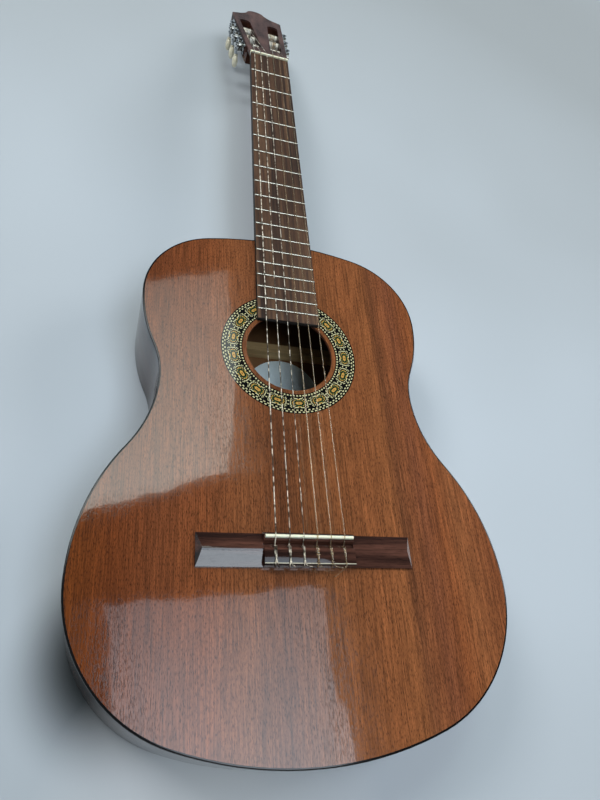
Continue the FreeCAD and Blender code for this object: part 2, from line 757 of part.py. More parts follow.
def slot_cut(side, z0, z1):
    """Room of one string slot in the head's frame; it runs parallel to the side of the head."""
    end_r = SLOT_W / 2
    middle = -(SLOT_WALL + end_r)
    low = SLOT_FROM
    bar = box(middle - end_r, middle + end_r, low, SLOT_TO - end_r, z0, z1)
    bar = bar.fuse(disc(middle, SLOT_TO - end_r, z0, end_r, z1 - z0))
    bar.Placement = Placement(Vector(HEAD_HALF_NUT, 0, 0), SIDE_PLACE.Rotation)
    return bar if side > 0 else bar.mirror(Vector(0, 0, 0), Vector(1, 0, 0))


def string_ramp(number):
    """Sloping channel that lets a string run down from the nut into its slot."""
    side, row = machine_of(number)
    nut_point = Vector(string_x(number, NUT_SPREAD), NUT_T / 2, nut_z(number))
    tangent, _ = wrap_on_roller(number, nut_point)
    radius = STRING_D[number] / 2.0 + RAMP_AIR
    along = tangent - nut_point
    start = nut_point + along * (NUT_T / along.y)
    body = Part.makeCylinder(radius, (tangent - start).Length, start, along)
    lift = HEAD_PLACE.Rotation.multVec(Vector(0, 0, 2 * VENEER_T + radius))
    reach = along.cross(lift).normalize() * radius
    far = tangent
    wall = prism([start - reach, far - reach, far - reach + lift, start - reach + lift], reach * 2.0)
    return body.fuse(wall)


def head_cuts():
    """Everything that is cut out of the head block and its veneer."""
    cuts = [slot_cut(side, -HEAD_T - 1, VENEER_T + 1) for side in (1, -1)]
    cuts = [in_head(shape) for shape in cuts]
    cuts += [string_ramp(number) for number in STRING_D]
    reach = SLOT_WALL + SLOT_W + ROLLER_SEAT + ROLLER_TIP_AIR
    for side in (1, -1):
        for row in range(3):
            mouth = Vector(1, roller_s(row), 0)
            bore = Part.makeCylinder(ROLLER_R + ROLLER_AIR, reach + 1, mouth, Vector(-1, 0, 0))
            cuts.append(at_side(bore, side))
        for along in SCREW_AT:
            hole = Part.makeCylinder(SCREW_R + SCREW_FIT, SCREW_L + 1, Vector(1, along, 0), Vector(-1, 0, 0))
            cuts.append(at_side(hole, side))
    return cuts


def headstock():
    """Head block with two slots, six roller bores and the screw holes."""
    return in_head(head_blank(HEAD_JOINT_AT, -HEAD_T, 0)).cut(head_cuts())


def head_veneer():
    """Thin facing on the head, from the nut to the crest."""
    sheet = in_head(head_blank(-5, 0, VENEER_T))
    behind_nut = box(-HEAD_HALF_TOP, HEAD_HALF_TOP, -20, NUT_T, 0, TOP_Z + 40)
    return sheet.cut(behind_nut).cut(head_cuts())


# ---- tuning machines, in the machine's own frame: x out of the side, y along it, z towards the face ----
def roller(row):
    """Roller with its bearing stub and the square that drives it; a hole takes the string."""
    y = roller_s(row)
    inner = -(SLOT_WALL + SLOT_W + ROLLER_SEAT)
    body = Part.makeCylinder(ROLLER_R, -inner - ROLLER_TIP_AIR, Vector(inner, y, 0), Vector(1, 0, 0))
    stub_l = PLATE_T + ROLLER_TIP_AIR + GEAR_AIR
    stub = Part.makeCylinder(STUB_R, stub_l, Vector(-ROLLER_TIP_AIR, y, 0), Vector(1, 0, 0))
    square = box(0, GEAR_X + GEAR_T / 2, y - SQUARE / 2, y + SQUARE / 2, -SQUARE / 2, SQUARE / 2)
    hole_x = -(SLOT_WALL + SLOT_W * 0.25)
    hole = Part.makeCylinder(STRING_HOLE_D / 2, 4 * ROLLER_R, Vector(hole_x, y, -2 * ROLLER_R))
    return body.fuse([stub, square]).cut(hole)


def gear(row):
    """Toothed wheel on the roller's square, and the screw that holds it there."""
    root = GEAR_R - GEAR_DED
    x0 = GEAR_X - GEAR_T / 2
    wheel = Part.makeCylinder(root, GEAR_T, Vector(x0, 0, 0), Vector(1, 0, 0))
    inner = root - 0.5
    tip = GEAR_R + GEAR_ADD
    teeth = []
    for i in range(GEAR_TEETH):
        profile = [(inner, -TOOTH_ROOT / 2), (tip, -TOOTH_TIP / 2), (tip, TOOTH_TIP / 2),
                   (inner, TOOTH_ROOT / 2)]
        tooth = prism([Vector(x0, y, z) for y, z in profile], Vector(GEAR_T, 0, 0))
        tooth.rotate(Vector(0, 0, 0), Vector(1, 0, 0), (i + 0.5) * 360.0 / GEAR_TEETH)
        teeth.append(tooth)
    hub_x = PLATE_T + GEAR_AIR
    hub = Part.makeCylinder(GEAR_HUB_R, x0 - hub_x, Vector(hub_x, 0, 0), Vector(1, 0, 0))
    half = SQUARE / 2
    wheel = wheel.fuse(teeth + [hub]).removeSplitter().cut(box(0, x0 + GEAR_T + 1, -half, half, -half, half))
    face = x0 + GEAR_T
    screw = Part.makeCylinder(GEAR_SCREW_R, GEAR_SCREW_H, Vector(face, 0, 0), Vector(1, 0, 0))
    slot = box(face + GEAR_SCREW_H / 2, face + GEAR_SCREW_H + 1, -GEAR_SCREW_R, GEAR_SCREW_R,
               -DRIVE_HALF, DRIVE_HALF)
    both = Part.makeCompound([wheel, screw.cut(slot)])
    both.translate(Vector(0, roller_s(row), 0))
    return both


def worm(row):
    """Worm cut on its shaft, with the journals that turn in the tabs and the stem for the button."""
    height = WORM_TURNS * WORM_PITCH
    helix = Part.makeHelix(WORM_PITCH, height, WORM_CORE_R)
    inner = WORM_CORE_R - 0.15
    tip = WORM_R + WORM_ADD
    profile = polygon([Vector(inner, 0, -THREAD_ROOT / 2), Vector(tip, 0, -THREAD_TIP / 2),
                       Vector(tip, 0, THREAD_TIP / 2), Vector(inner, 0, THREAD_ROOT / 2)])
    thread = Part.Wire(helix).makePipeShell([profile], True, True)
    thread.translate(Vector(0, 0, -height / 2))
    turned = (WORM_TURNS / 2.0 % 1.0) * 360.0
    thread.rotate(Vector(0, 0, 0), Vector(0, 0, 1), -90.0 - turned)
    core_half = TAB_AT - 0.3
    core = Part.makeCylinder(WORM_CORE_R, 2 * core_half, Vector(0, 0, -core_half))
    journal_top = TAB_AT + TAB_T + 0.5
    journal_low = -BUTTON_FROM - BUTTON_L / 2
    journal = Part.makeCylinder(JOURNAL_R, journal_top - journal_low, Vector(0, 0, journal_low))
    collar_z = -TAB_AT - TAB_T - 0.3
    collar = Part.makeCylinder(COLLAR_R, 1.2, Vector(0, 0, collar_z - 1.2))
    whole = core.fuse([thread, journal, collar])
    whole.translate(Vector(GEAR_X, roller_s(row) + WORM_S, 0))
    return whole


def button(row):
    """Oval button on the shaft's end, behind the head."""
    top = -BUTTON_FROM
    neck_z = top - BUTTON_NECK_L
    neck_piece = Part.makeCone(BUTTON_NECK_R, BUTTON_NECK_R * 0.8, BUTTON_NECK_L, Vector(0, 0, neck_z))
    grip_h = BUTTON_L - BUTTON_NECK_L + 1.5
    grip = Part.makeSphere(1.0)
    shape = FreeCAD.Matrix()
    shape.scale(BUTTON_T / 2, BUTTON_W / 2, grip_h / 2)
    grip = grip.transformGeometry(shape)
    grip.translate(Vector(0, 0, top - BUTTON_L + grip_h / 2))
    bore = Part.makeCylinder(JOURNAL_R, BUTTON_L / 2 + 5, Vector(0, 0, top - BUTTON_L / 2))
    whole = grip.fuse(neck_piece).cut(bore)
    whole.translate(Vector(GEAR_X, roller_s(row) + WORM_S, 0))
    return whole


def tuner_plate():
    """Side plate with two bearing tabs for each worm and a hole for each roller and screw."""
    half = PLATE_W / 2
    plate = box(0, PLATE_T, PLATE_FROM + half, PLATE_TO - half, -half, half)
    for y in (PLATE_FROM + half, PLATE_TO - half):
        plate = plate.fuse(Part.makeCylinder(half, PLATE_T, Vector(0, y, 0), Vector(1, 0, 0)))
    for row in range(3):
        y = roller_s(row) + WORM_S
        for side in (1, -1):
            z = side * (TAB_AT + TAB_T / 2)
            tab = box(0, GEAR_X, y - TAB_W / 2, y + TAB_W / 2, z - TAB_T / 2, z + TAB_T / 2)
            tab = tab.fuse(Part.makeCylinder(TAB_W / 2, TAB_T, Vector(GEAR_X, y, z - TAB_T / 2)))
            plate = plate.fuse(tab)
    plate = plate.removeSplitter()
    holes = []
    for row in range(3):
        y = roller_s(row)
        holes.append(Part.makeCylinder(STUB_R + SHAFT_FIT, 4 * PLATE_T, Vector(-1, y, 0), Vector(1, 0, 0)))
        bore_z = 2 * (TAB_AT + TAB_T)
        foot = Vector(GEAR_X, y + WORM_S, -bore_z)
        holes.append(Part.makeCylinder(JOURNAL_R + SHAFT_FIT, 2 * bore_z, foot))
    for along in SCREW_AT:
        holes.append(Part.makeCylinder(SCREW_R + SCREW_FIT, 4 * PLATE_T, Vector(-1, along, 0), Vector(1, 0, 0)))
    return plate.cut(holes)


def plate_screw(along):
    """Small slotted wood screw that holds a side plate."""
    shank = Part.makeCylinder(SCREW_R, SCREW_L + PLATE_T, Vector(-SCREW_L, along, 0), Vector(1, 0, 0))
    ball_r = (SCREW_HEAD_R ** 2 + SCREW_HEAD_H ** 2) / (2 * SCREW_HEAD_H)
    head = Part.makeSphere(ball_r, Vector(PLATE_T + SCREW_HEAD_H - ball_r, along, 0))
    head = head.common(box(PLATE_T, PLATE_T + SCREW_HEAD_H + 1, along - 5, along + 5, -5, 5))
    slot = box(PLATE_T + SCREW_HEAD_H / 2, PLATE_T + 5, along - 5, along + 5, -DRIVE_HALF, DRIVE_HALF)
    return shank.fuse(head).cut(slot)


def plate_screws():
    """All the screws of both plates."""
    return Part.makeCompound([at_side(plate_screw(along), side) for side in (1, -1) for along in SCREW_AT])


# ---- bridge, made about x = 0 and then moved to its place across ----
def off_centre(shape):
    """Move a piece of the bridge to its place across the soundboard."""
    shape.translate(Vector(BRIDGE_X, 0, 0))
    return shape


def across(profile, x0, x1):
    """Solid with one outline in the YZ plane: distance back from the bridge's front edge, height."""
    points = [Vector(x0, BRIDGE_Y - t, TOP_Z + h) for t, h in profile]
    return prism(points, Vector(x1 - x0, 0, 0))


def wing_blank():
    """Low ridge across the full width of the bridge, hipped at both ends."""
    def at(t, h):
        return Vector(-BRIDGE_W / 2, BRIDGE_Y - t, TOP_Z + h)
    mid = BRIDGE_L / 2
    flat = WING_TOP / 2
    rise = WING_RIDGE - WING_EDGE
    outline = Part.Wire([
        line(at(0, 0), at(0, WING_EDGE)),
        arc(at(0, WING_EDGE), at(mid / 2, WING_EDGE + rise * WING_BULGE), at(mid - flat, WING_RIDGE)),
        line(at(mid - flat, WING_RIDGE), at(mid + flat, WING_RIDGE)),
        arc(at(mid + flat, WING_RIDGE), at(mid * 1.5, WING_EDGE + rise * WING_BULGE), at(BRIDGE_L, WING_EDGE)),
        line(at(BRIDGE_L, WING_EDGE), at(BRIDGE_L, 0)),
        line(at(BRIDGE_L, 0), at(0, 0)),
    ])
    blank = Part.Face(outline).extrude(Vector(BRIDGE_W, 0, 0))
    half = BRIDGE_W / 2
    high = WING_RIDGE + 2
    slope = WING_HIP * (high - WING_EDGE) / rise
    hips = [(-half, -1), (half, -1), (half, WING_EDGE), (half - slope, high), (slope - half, high),
            (-half, WING_EDGE)]
    hull = prism([Vector(x, BRIDGE_Y + 1, TOP_Z + z) for x, z in hips], Vector(0, -BRIDGE_L - 2, 0))
    return blank.common(hull)


def bridge():
    """Bridge with its saddle slot, string trough and drilled tie block."""
    centre = [(0, 0), (0, RIDGE_H - 2.4), (1.0, RIDGE_H - 0.6), (2.0, RIDGE_H), (RIDGE_L - 1, RIDGE_H),
              (RIDGE_L, RIDGE_H - 0.8), (RIDGE_L + 1.6, TROUGH_H), (TROUGH_TO, TROUGH_H),
              (TROUGH_TO, TIE_H - 0.5),
              (TROUGH_TO + 0.6, TIE_H), (TIE_CROWN_AT, TIE_H + TIE_CROWN), (BRIDGE_L - 1.2, TIE_H),
              (BRIDGE_L, TIE_H - 1.0), (BRIDGE_L, 0)]
    room = [(RIDGE_L, RIDGE_H + 5), (RIDGE_L, RIDGE_H - 0.8), (RIDGE_L + 1.6, TROUGH_H), (TROUGH_TO, TROUGH_H),
            (TROUGH_TO, RIDGE_H + 5)]
    whole = wing_blank().cut(across(room, -BLOCK_HALF, BLOCK_HALF))
    whole = whole.fuse(across(centre, -BLOCK_HALF, BLOCK_HALF)).removeSplitter()
    cuts = [box(-SADDLE_L / 2, SADDLE_L / 2, SADDLE_Y - SADDLE_T / 2, SADDLE_Y + SADDLE_T / 2,
                TOP_Z + SADDLE_SEAT, TOP_Z + 40)]
    for number in STRING_D:
        start = Vector(string_x(number, SADDLE_SPREAD), BRIDGE_Y - TROUGH_TO + 1, TOP_Z + HOLE_H)
        cuts.append(Part.makeCylinder(TIE_HOLE_D / 2, BRIDGE_L, start, Vector(0, -1, 0)))
    cuts.append(trim_box(TIE_CROWN + 1))
    return off_centre(whole.cut(cuts))


def trim_box(proud):
    """Strip let into the tie block near its rear edge, standing proud of its top."""
    top = TOP_Z + TIE_H
    rear = BRIDGE_Y - BRIDGE_L + TRIM_REAR
    return box(-BLOCK_HALF, BLOCK_HALF, rear, rear + TRIM_W, top - TRIM_T, top + proud)


def tie_block_trim():
    """Light strip on the tie block."""
    return off_centre(trim_box(TRIM_PROUD))


def saddle():
    """Bone saddle with a round top."""
    half = SADDLE_T / 2
    def at(y, z):
        return Vector(-SADDLE_L / 2, SADDLE_Y + y, z)
    low = TOP_Z + SADDLE_SEAT
    high = TOP_Z + SADDLE_H
    outline = Part.Wire([
        line(at(-half, low), at(half, low)),
        line(at(half, low), at(half, high - half)),
        arc(at(half, high - half), at(0, high), at(-half, high - half)),
        line(at(-half, high - half), at(-half, low)),
    ])
    return off_centre(Part.Face(outline).extrude(Vector(SADDLE_L, 0, 0)))


# ---- build ----
def body_parts():
    """Sub-parts of the body and bridge, by name."""
    return {
        "soundboard": soundboard(),
        "rosette": rosette(),
        "back_plate": back_plate(),
        "side_bass": side_wall(-1),
        "side_treble": side_wall(1),
        "end_graft": rim().common(graft_box()),
        "neck_block": neck_block(),
        "tail_block": tail_block(),
        "top_linings": linings(TOP_Z - TOP_T - LINING_H),
        "back_linings": linings(BACK_T),
        "binding_top": binding(TOP_Z - BIND_H),
        "binding_back": binding(0),
        "harmonic_bars": harmonic_bars(),
        "fan_braces": fan_braces(),
        "back_braces": back_braces(),
        "label": label(),
        "bridge": bridge(),
        "tie_block_trim": tie_block_trim(),
        "saddle": saddle(),
    }


def neck_parts():
    """Sub-parts of the neck, head and strings, by name."""
    parts = {
        "neck": neck(),
        "heel_cap": heel_cap(),
        "fingerboard": fingerboard(),
        "frets": Part.makeCompound([fret(n) for n in range(1, FRET_COUNT + 1)]),
        "nut": nut(),
        "headstock": headstock(),
        "head_veneer": head_veneer(),
    }
    for number in STRING_D:
        parts["string_%d" % number] = string(number)
    return parts


def machine_parts():
    """Sub-parts of the six tuning machines, by name."""
    parts = {
        "tuner_plate_treble": at_side(tuner_plate(), 1),
        "tuner_plate_bass": at_side(tuner_plate(), -1),
        "plate_screws": plate_screws(),
    }
    for number in STRING_D:
        side, row = machine_of(number)
        parts["roller_%d" % number] = at_side(roller(row), side)
        parts["gear_%d" % number] = at_side(gear(row), side)
        parts["worm_%d" % number] = at_side(worm(row), side)
        parts["button_%d" % number] = at_side(button(row), side)
    return parts


def main():
    os.makedirs("parts", exist_ok=True)
    for group in (body_parts, neck_parts, machine_parts):
        for name, shape in group().items():
            save(shape, name)


main()
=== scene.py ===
# %% [markdown]
# # A classical guitar, finished in Blender
# The guitar's exact shape comes from a CAD model that is loaded here as a fixed frame: every piece is already
# in its place, in metres, with the back lying on the plane z = 0 and the strings running along Y. Blender adds
# what CAD leaves out: the wood's figure, the mosaic round the soundhole, the windings of the strings and their
# knots.

# %% Load the frame
import json
import math
import bmesh
import bpy
from mathutils import Matrix, Vector


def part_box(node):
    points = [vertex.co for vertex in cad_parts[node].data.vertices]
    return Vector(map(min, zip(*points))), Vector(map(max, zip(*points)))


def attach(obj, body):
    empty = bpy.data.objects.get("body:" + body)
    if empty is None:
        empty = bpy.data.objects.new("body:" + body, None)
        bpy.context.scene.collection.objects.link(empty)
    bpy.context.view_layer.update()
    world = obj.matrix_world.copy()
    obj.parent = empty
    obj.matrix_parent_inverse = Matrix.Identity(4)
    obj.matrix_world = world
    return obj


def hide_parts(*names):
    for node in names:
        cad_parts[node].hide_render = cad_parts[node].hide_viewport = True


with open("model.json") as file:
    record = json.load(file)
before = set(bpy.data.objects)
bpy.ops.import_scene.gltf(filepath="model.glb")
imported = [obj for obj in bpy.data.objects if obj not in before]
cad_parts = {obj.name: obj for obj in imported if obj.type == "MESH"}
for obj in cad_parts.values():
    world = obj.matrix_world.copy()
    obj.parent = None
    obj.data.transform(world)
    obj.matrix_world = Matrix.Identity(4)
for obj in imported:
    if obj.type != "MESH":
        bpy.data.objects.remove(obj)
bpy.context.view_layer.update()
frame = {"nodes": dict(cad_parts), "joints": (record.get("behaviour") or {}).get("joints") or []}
MM = 0.001

# %% [markdown]
# ## The camera
# A guitar that lies on a table is often looked at from above its lower end, with a wide lens held quite near.
# The wide lens makes the lower bout large and the head small. A longer lens from further off would show truer
# proportions, but a flatter guitar. The camera therefore stands over the bass side of the tail, a little over
# half a metre up, with the wide field of view of a phone, and looks up along the neck.

# %% Camera
SENSOR_MM, LENS_MM = 36.0, 28.0044
CAMERA_AT = (-0.16382, -0.49200, 0.56821)
CAMERA_TURN = (30.3586, -17.4179, -4.1580)
scene = bpy.context.scene
camera_data = bpy.data.cameras.new("camera")
camera_data.sensor_width = SENSOR_MM
camera_data.lens = LENS_MM
camera = bpy.data.objects.new("camera", camera_data)
camera.location = CAMERA_AT
camera.rotation_euler = [math.radians(angle) for angle in CAMERA_TURN]
scene.collection.objects.link(camera)
scene.camera = camera
scene.view_settings.view_transform = "Standard"
print("lens", round(camera_data.lens, 2), "mm")


# %% [markdown]
# ## Small helpers
# Six helpers are used in the cells below. `linear` turns a colour that is written as on a paint chart, in sRGB
# hex, to the values that the renderer works with. `add` puts one node in a material with its settings and
# links. `blank_material` begins a material and `surface` closes it. `put` gives a finished mesh its object,
# finish and body, and `finish` gives pieces that come from CAD a material.

# %% Helpers
def linear(code):
    """Linear red, green, blue and alpha of an sRGB hex colour."""
    values = [int(code[i:i + 2], 16) / 255.0 for i in (1, 3, 5)]
    return [v / 12.92 if v <= 0.04045 else ((v + 0.055) / 1.055) ** 2.4 for v in values] + [1.0]


def add(tree, kind, inputs=None, **settings):
    """Add one node; settings are its own, inputs are values or other nodes' outputs for its sockets."""
    node = tree.nodes.new(kind)
    for name, value in settings.items():
        setattr(node, name, value)
    for name, value in (inputs or {}).items():
        if isinstance(value, bpy.types.NodeSocket):
            tree.links.new(value, node.inputs[name])
        else:
            node.inputs[name].default_value = value
    return node


def blank_material(name):
    """Material without nodes, and its tree."""
    material = bpy.data.materials.new(name)
    material.use_nodes = True
    material.node_tree.nodes.clear()
    return material, material.node_tree


def surface(tree, inputs):
    """Principled surface joined to the material's output."""
    shader = add(tree, "ShaderNodeBsdfPrincipled", inputs)
    add(tree, "ShaderNodeOutputMaterial", {"Surface": shader.outputs["BSDF"]})


def put(name, mesh, material, body="root", replaced=()):
    """Place a finished mesh in the scene: its finish, the body it moves with and the nodes it stands for."""
    piece = bpy.data.objects.new(name, mesh)
    scene.collection.objects.link(piece)
    mesh.materials.clear()
    mesh.materials.append(material)
    mesh.shade_smooth()
    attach(piece, body)
    if replaced:
        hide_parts(*replaced)
    return piece


def finish(material, *nodes):
    """Give CAD nodes a material."""
    for name in nodes:
        data = frame["nodes"][name].data
        data.materials.clear()
        data.materials.append(material)


print("white is", [round(v, 3) for v in linear("#ffffff")])

# %% [markdown]
# ## The paper underneath
# The guitar lies on a sheet of bluish white paper that reaches past the view on all sides. A sheet bent up
# behind it, as in a studio, would do too, but one flat face is enough, because its colour fades into that of
# the backdrop far from the guitar and no horizon shows.

# %% Floor
FLOOR_HALF, FLOOR_DROP = 6.0, 0.0005
floor_mesh = bpy.data.meshes.new("paper_floor")
bm = bmesh.new()
bmesh.ops.create_grid(bm, x_segments=1, y_segments=1, size=FLOOR_HALF)
bm.to_mesh(floor_mesh)
bm.free()
floor = bpy.data.objects.new("paper_floor", floor_mesh)
floor.location.z = -FLOOR_DROP
scene.collection.objects.link(floor)
print("floor", [round(v, 2) for v in floor.dimensions])

# %% [markdown]
# ### The paper's tones, with painted light and shade
# Paper under window light isn't one tone. Its colour is painted palest round the body and greyer further out,
# as painted light that falls off away from the windows, with faint clouds. Beside the lower bout, where the
# body meets the paper, a dark contact shadow is painted into the paper, and the glossy side mirrors it. Below
# the tail a pool of light is painted, so the paper is lighter again. Lamps as soft as these leave both faint,
# so each is strengthened here by a painted round pool of another tone, laid into the paper with a gradient. A
# pool's place and reach are in metres.

# %% Paper
BACKDROP = "#bac7ce"
PAPER_PAINTED_DIM, PAPER_PAINTED_LIT, CONTACT_SHADE, TAIL_LIGHT = "#8b8d8c", "#cad2da", "#23292a", "#d6d7d6"
CLOUDS_PER_METRE = 1.6


def pool(tree, where, middle, reach):
    """1 at a point of the floor, falling evenly to 0 at a distance from it."""
    moved = add(tree, "ShaderNodeMapping", {"Vector": where, "Scale": (1.0 / reach,) * 3,
                                            "Location": (-middle[0] / reach, -middle[1] / reach, 0.0)})
    return add(tree, "ShaderNodeTexGradient", {"Vector": moved.outputs[0]},
               gradient_type="SPHERICAL").outputs["Fac"]


# Uncoated rolled paper scatters light evenly, so it has no highlight and shows only soft tones.
paper_floor, tree = blank_material("paper_uncoated_rolled_painted_light_and_shade")
spot = add(tree, "ShaderNodeTexCoord").outputs["Object"]
# Painted light: the paper's colour is palest near the body and greyer further out, as if light fell off.
near = pool(tree, spot, (0.0, -0.1579), 1.0526)
cloud = add(tree, "ShaderNodeTexNoise", {"Vector": spot, "Scale": CLOUDS_PER_METRE, "Detail": 2.0})
light_falloff_and_clouds = add(tree, "ShaderNodeMath", {0: near, 1: cloud.outputs["Fac"], 2: 0.25}, operation="MULTIPLY_ADD")
tone = add(tree, "ShaderNodeMix", {"Factor": light_falloff_and_clouds.outputs[0], "A": linear(PAPER_PAINTED_DIM),
                                   "B": linear(PAPER_PAINTED_LIT)}, data_type="RGBA")
# Painted shadow: a dark contact shade laid into the paper's colour beside the lower bout.
painted_shadow_pool = pool(tree, spot, (-0.1402, -0.4227), 0.1031)
painted_shadow_mask = add(tree, "ShaderNodeMapRange", {"Value": painted_shadow_pool, "From Min": 0.1, "From Max": 0.76},
               interpolation_type="SMOOTHSTEP")
tone = add(tree, "ShaderNodeMix", {"Factor": painted_shadow_mask.outputs[0], "A": tone.outputs[2],
                                   "B": linear(CONTACT_SHADE)}, data_type="RGBA")
# Painted light: a pale pool laid into the paper's colour below the tail.
painted_light_pool = pool(tree, spot, (-0.055, -0.5457), 0.14286)
tone = add(tree, "ShaderNodeMix", {"Factor": painted_light_pool, "A": tone.outputs[2], "B": linear(TAIL_LIGHT)},
           data_type="RGBA")
paper_face = add(tree, "ShaderNodeBsdfPrincipled", {"Base Color": tone.outputs[2], "Roughness": 0.8,
                                                    "Specular IOR Level": 0.3})
print("paper tones", PAPER_PAINTED_DIM, PAPER_PAINTED_LIT, "with a contact shade", CONTACT_SHADE)

# %% [markdown]
# ### Where the paper ends
# Past a metre or so the paper takes the backdrop's colour. That colour is laid on as a plain glow, for three
# kinds of ray only: those of the camera, those that mirrors send out and those that clear nylon lets through,
# so metal shows the background too. All other rays still find paper, and it sends no extra light to the guitar.

# %% Fade into the backdrop
FADE_FROM, FADE_TO = 1.15, 1.95
away = add(tree, "ShaderNodeVectorMath", {0: spot}, operation="LENGTH").outputs["Value"]
far_off = add(tree, "ShaderNodeMapRange", {"Value": away, "From Min": FADE_FROM, "From Max": FADE_TO},
              interpolation_type="SMOOTHSTEP").outputs[0]
ray = add(tree, "ShaderNodeLightPath").outputs
seen = add(tree, "ShaderNodeMath", {0: ray["Is Camera Ray"], 1: ray["Is Glossy Ray"]},
           operation="MAXIMUM").outputs[0]
seen = add(tree, "ShaderNodeMath", {0: seen, 1: ray["Is Transmission Ray"]}, operation="MAXIMUM").outputs[0]
fades = add(tree, "ShaderNodeMath", {0: far_off, 1: seen}, operation="MULTIPLY").outputs[0]
backdrop = add(tree, "ShaderNodeEmission", {"Color": linear(BACKDROP)})
joined = add(tree, "ShaderNodeMixShader", {0: fades, 1: paper_face.outputs[0], 2: backdrop.outputs[0]})
add(tree, "ShaderNodeOutputMaterial", {"Surface": joined.outputs[0]})
floor_mesh.materials.append(paper_floor)
print("paper fades from", FADE_FROM, "to", FADE_TO, "m from the middle")


# %% [markdown]
# ## Light
# Gloss lacquer shows the room above it. Two bright panes hang where the top mirrors them as pale patches: a
# long one, whose ends lean, lies beside the soundhole, and a smaller one, with a slanting side, lies between
# bridge and tail. The image of the third pane falls past the end of the top, so it only gives light from there,
# as two soft boxes do from further to the sides. An image of a room would serve as well, but a lamp has a size
# and a place that can be measured. Each pane is an area lamp with nodes across its face, so that it can fade
# along its length and have another outline than a rectangle.

# %% Lamp panels
PANE_HEIGHT = 2.6


def lamp_panel(name, size, place, power, colour, aim=None, far=1.0, turn=0.0, skew=0.0, cut=0.0):
    """Bright rectangle at a place, facing straight down or to aim; power is in watts.

    far is the brightness of its -Y end and 2 - far that of the other, turn is in degrees, skew is how far the
    ends lean, as a share of its length, and cut is the share of its width that a slanting side takes off at
    the -Y end."""
    data = bpy.data.lights.new(name, "AREA")
    data.shape = "RECTANGLE"
    data.size, data.size_y = size
    data.energy = power
    data.color = linear(colour)[:3]
    data.use_nodes = True
    panes = data.node_tree
    panes.nodes.clear()
    face = add(panes, "ShaderNodeNewGeometry").outputs["Parametric"]
    side, end, _ = add(panes, "ShaderNodeSeparateXYZ", {0: face}).outputs
    fade = add(panes, "ShaderNodeMapRange", {"Value": end, "To Min": far, "To Max": 2.0 - far}).outputs[0]
    lean = add(panes, "ShaderNodeMath", {0: side, 1: -skew, 2: end}, operation="MULTIPLY_ADD").outputs[0]
    shut = add(panes, "ShaderNodeMath", {0: lean, 1: 0.5 - skew / 2.0, 2: 0.5 - abs(skew) / 2.0},
               operation="COMPARE").outputs[0]
    slant = add(panes, "ShaderNodeMath", {0: end, 1: cut, 2: side}, operation="MULTIPLY_ADD").outputs[0]
    kept = add(panes, "ShaderNodeMath", {0: slant, 1: cut}, operation="GREATER_THAN").outputs[0]
    pane = add(panes, "ShaderNodeMath", {0: fade, 1: shut}, operation="MULTIPLY").outputs[0]
    pane = add(panes, "ShaderNodeMath", {0: pane, 1: kept}, operation="MULTIPLY").outputs[0]
    glow = add(panes, "ShaderNodeEmission", {"Strength": pane})
    add(panes, "ShaderNodeOutputLight", {"Surface": glow.outputs[0]})
    lamp = bpy.data.objects.new(name, data)
    lamp.location = place
    facing = (Vector(aim or (*place[:2], 0.0)) - Vector(place)).to_track_quat("-Z", "Y").to_matrix()
    lamp.rotation_euler = (Matrix.Rotation(math.radians(turn), 3, "Z") @ facing).to_euler()
    lamp.visible_camera = False
    scene.collection.objects.link(lamp)
    area = size[0] * size[1]
    print(name, "area", round(area, 2), "m2,", round(power / (math.pi * area), 2), "W/m2/sr")


lamp_panel("window_neck", (1.25, 1.75), (-0.125, 1.27, PANE_HEIGHT), 30.0, "#ecf8f2", far=1.6, skew=0.22)
lamp_panel("window_tail", (1.03, 0.95), (0.46, -0.32, PANE_HEIGHT), 14.0, "#d8e9f8", far=1.45, turn=5.0,
           cut=0.12)
lamp_panel("window_low", (1.03, 1.15), (0.55, -1.38, PANE_HEIGHT), 30.0, "#dfe9f3", turn=5.0)
lamp_panel("soft_box_right", (1.6, 1.6), (3.15, 1.0, 2.3), 60.0, "#f6f8fa", aim=(0.0, -0.1, 0.1))
lamp_panel("soft_box_left", (1.2, 1.2), (-1.9, 1.3, 2.7), 54.0, "#f6f8fa", aim=(0.0, 0.1, 0.1))

# %% [markdown]
# ### Walls and ceiling
# What isn't lamp or paper is the world. Low down it is the backdrop for every ray, as pale walls would be.
# Higher up it darkens to a dim ceiling, because a bright one would lie as a haze over the whole lacquered top.
# Only the camera, and what is seen through clear nylon, has the backdrop overhead too. The two heights below
# are sines of the angle above the horizon.

# %% World
WALL_TOP, CEILING_FROM = 0.22, 0.48
CEILING = "#565a5d"
world = bpy.data.worlds.new("paper_walls_and_dim_ceiling")
scene.world = world
world.use_nodes = True
tree = world.node_tree
tree.nodes.clear()
up = add(tree, "ShaderNodeSeparateXYZ", {0: add(tree, "ShaderNodeTexCoord").outputs["Generated"]}).outputs[2]
height = add(tree, "ShaderNodeMapRange", {"Value": up, "From Min": WALL_TOP, "From Max": CEILING_FROM},
             interpolation_type="SMOOTHSTEP")
sky = add(tree, "ShaderNodeMix", {"Factor": height.outputs[0], "A": linear(BACKDROP), "B": linear(CEILING)},
          data_type="RGBA")
ray = add(tree, "ShaderNodeLightPath").outputs
seen = add(tree, "ShaderNodeMath", {0: ray["Is Camera Ray"], 1: ray["Is Transmission Ray"]},
           operation="MAXIMUM").outputs[0]
sky = add(tree, "ShaderNodeMix", {"Factor": seen, "A": sky.outputs[2], "B": linear(BACKDROP)}, data_type="RGBA")
even = add(tree, "ShaderNodeBackground", {"Color": sky.outputs[2], "Strength": 1.0})
add(tree, "ShaderNodeOutputWorld", {"Surface": even.outputs["Background"]})
print("walls", BACKDROP, "ceiling", CEILING)

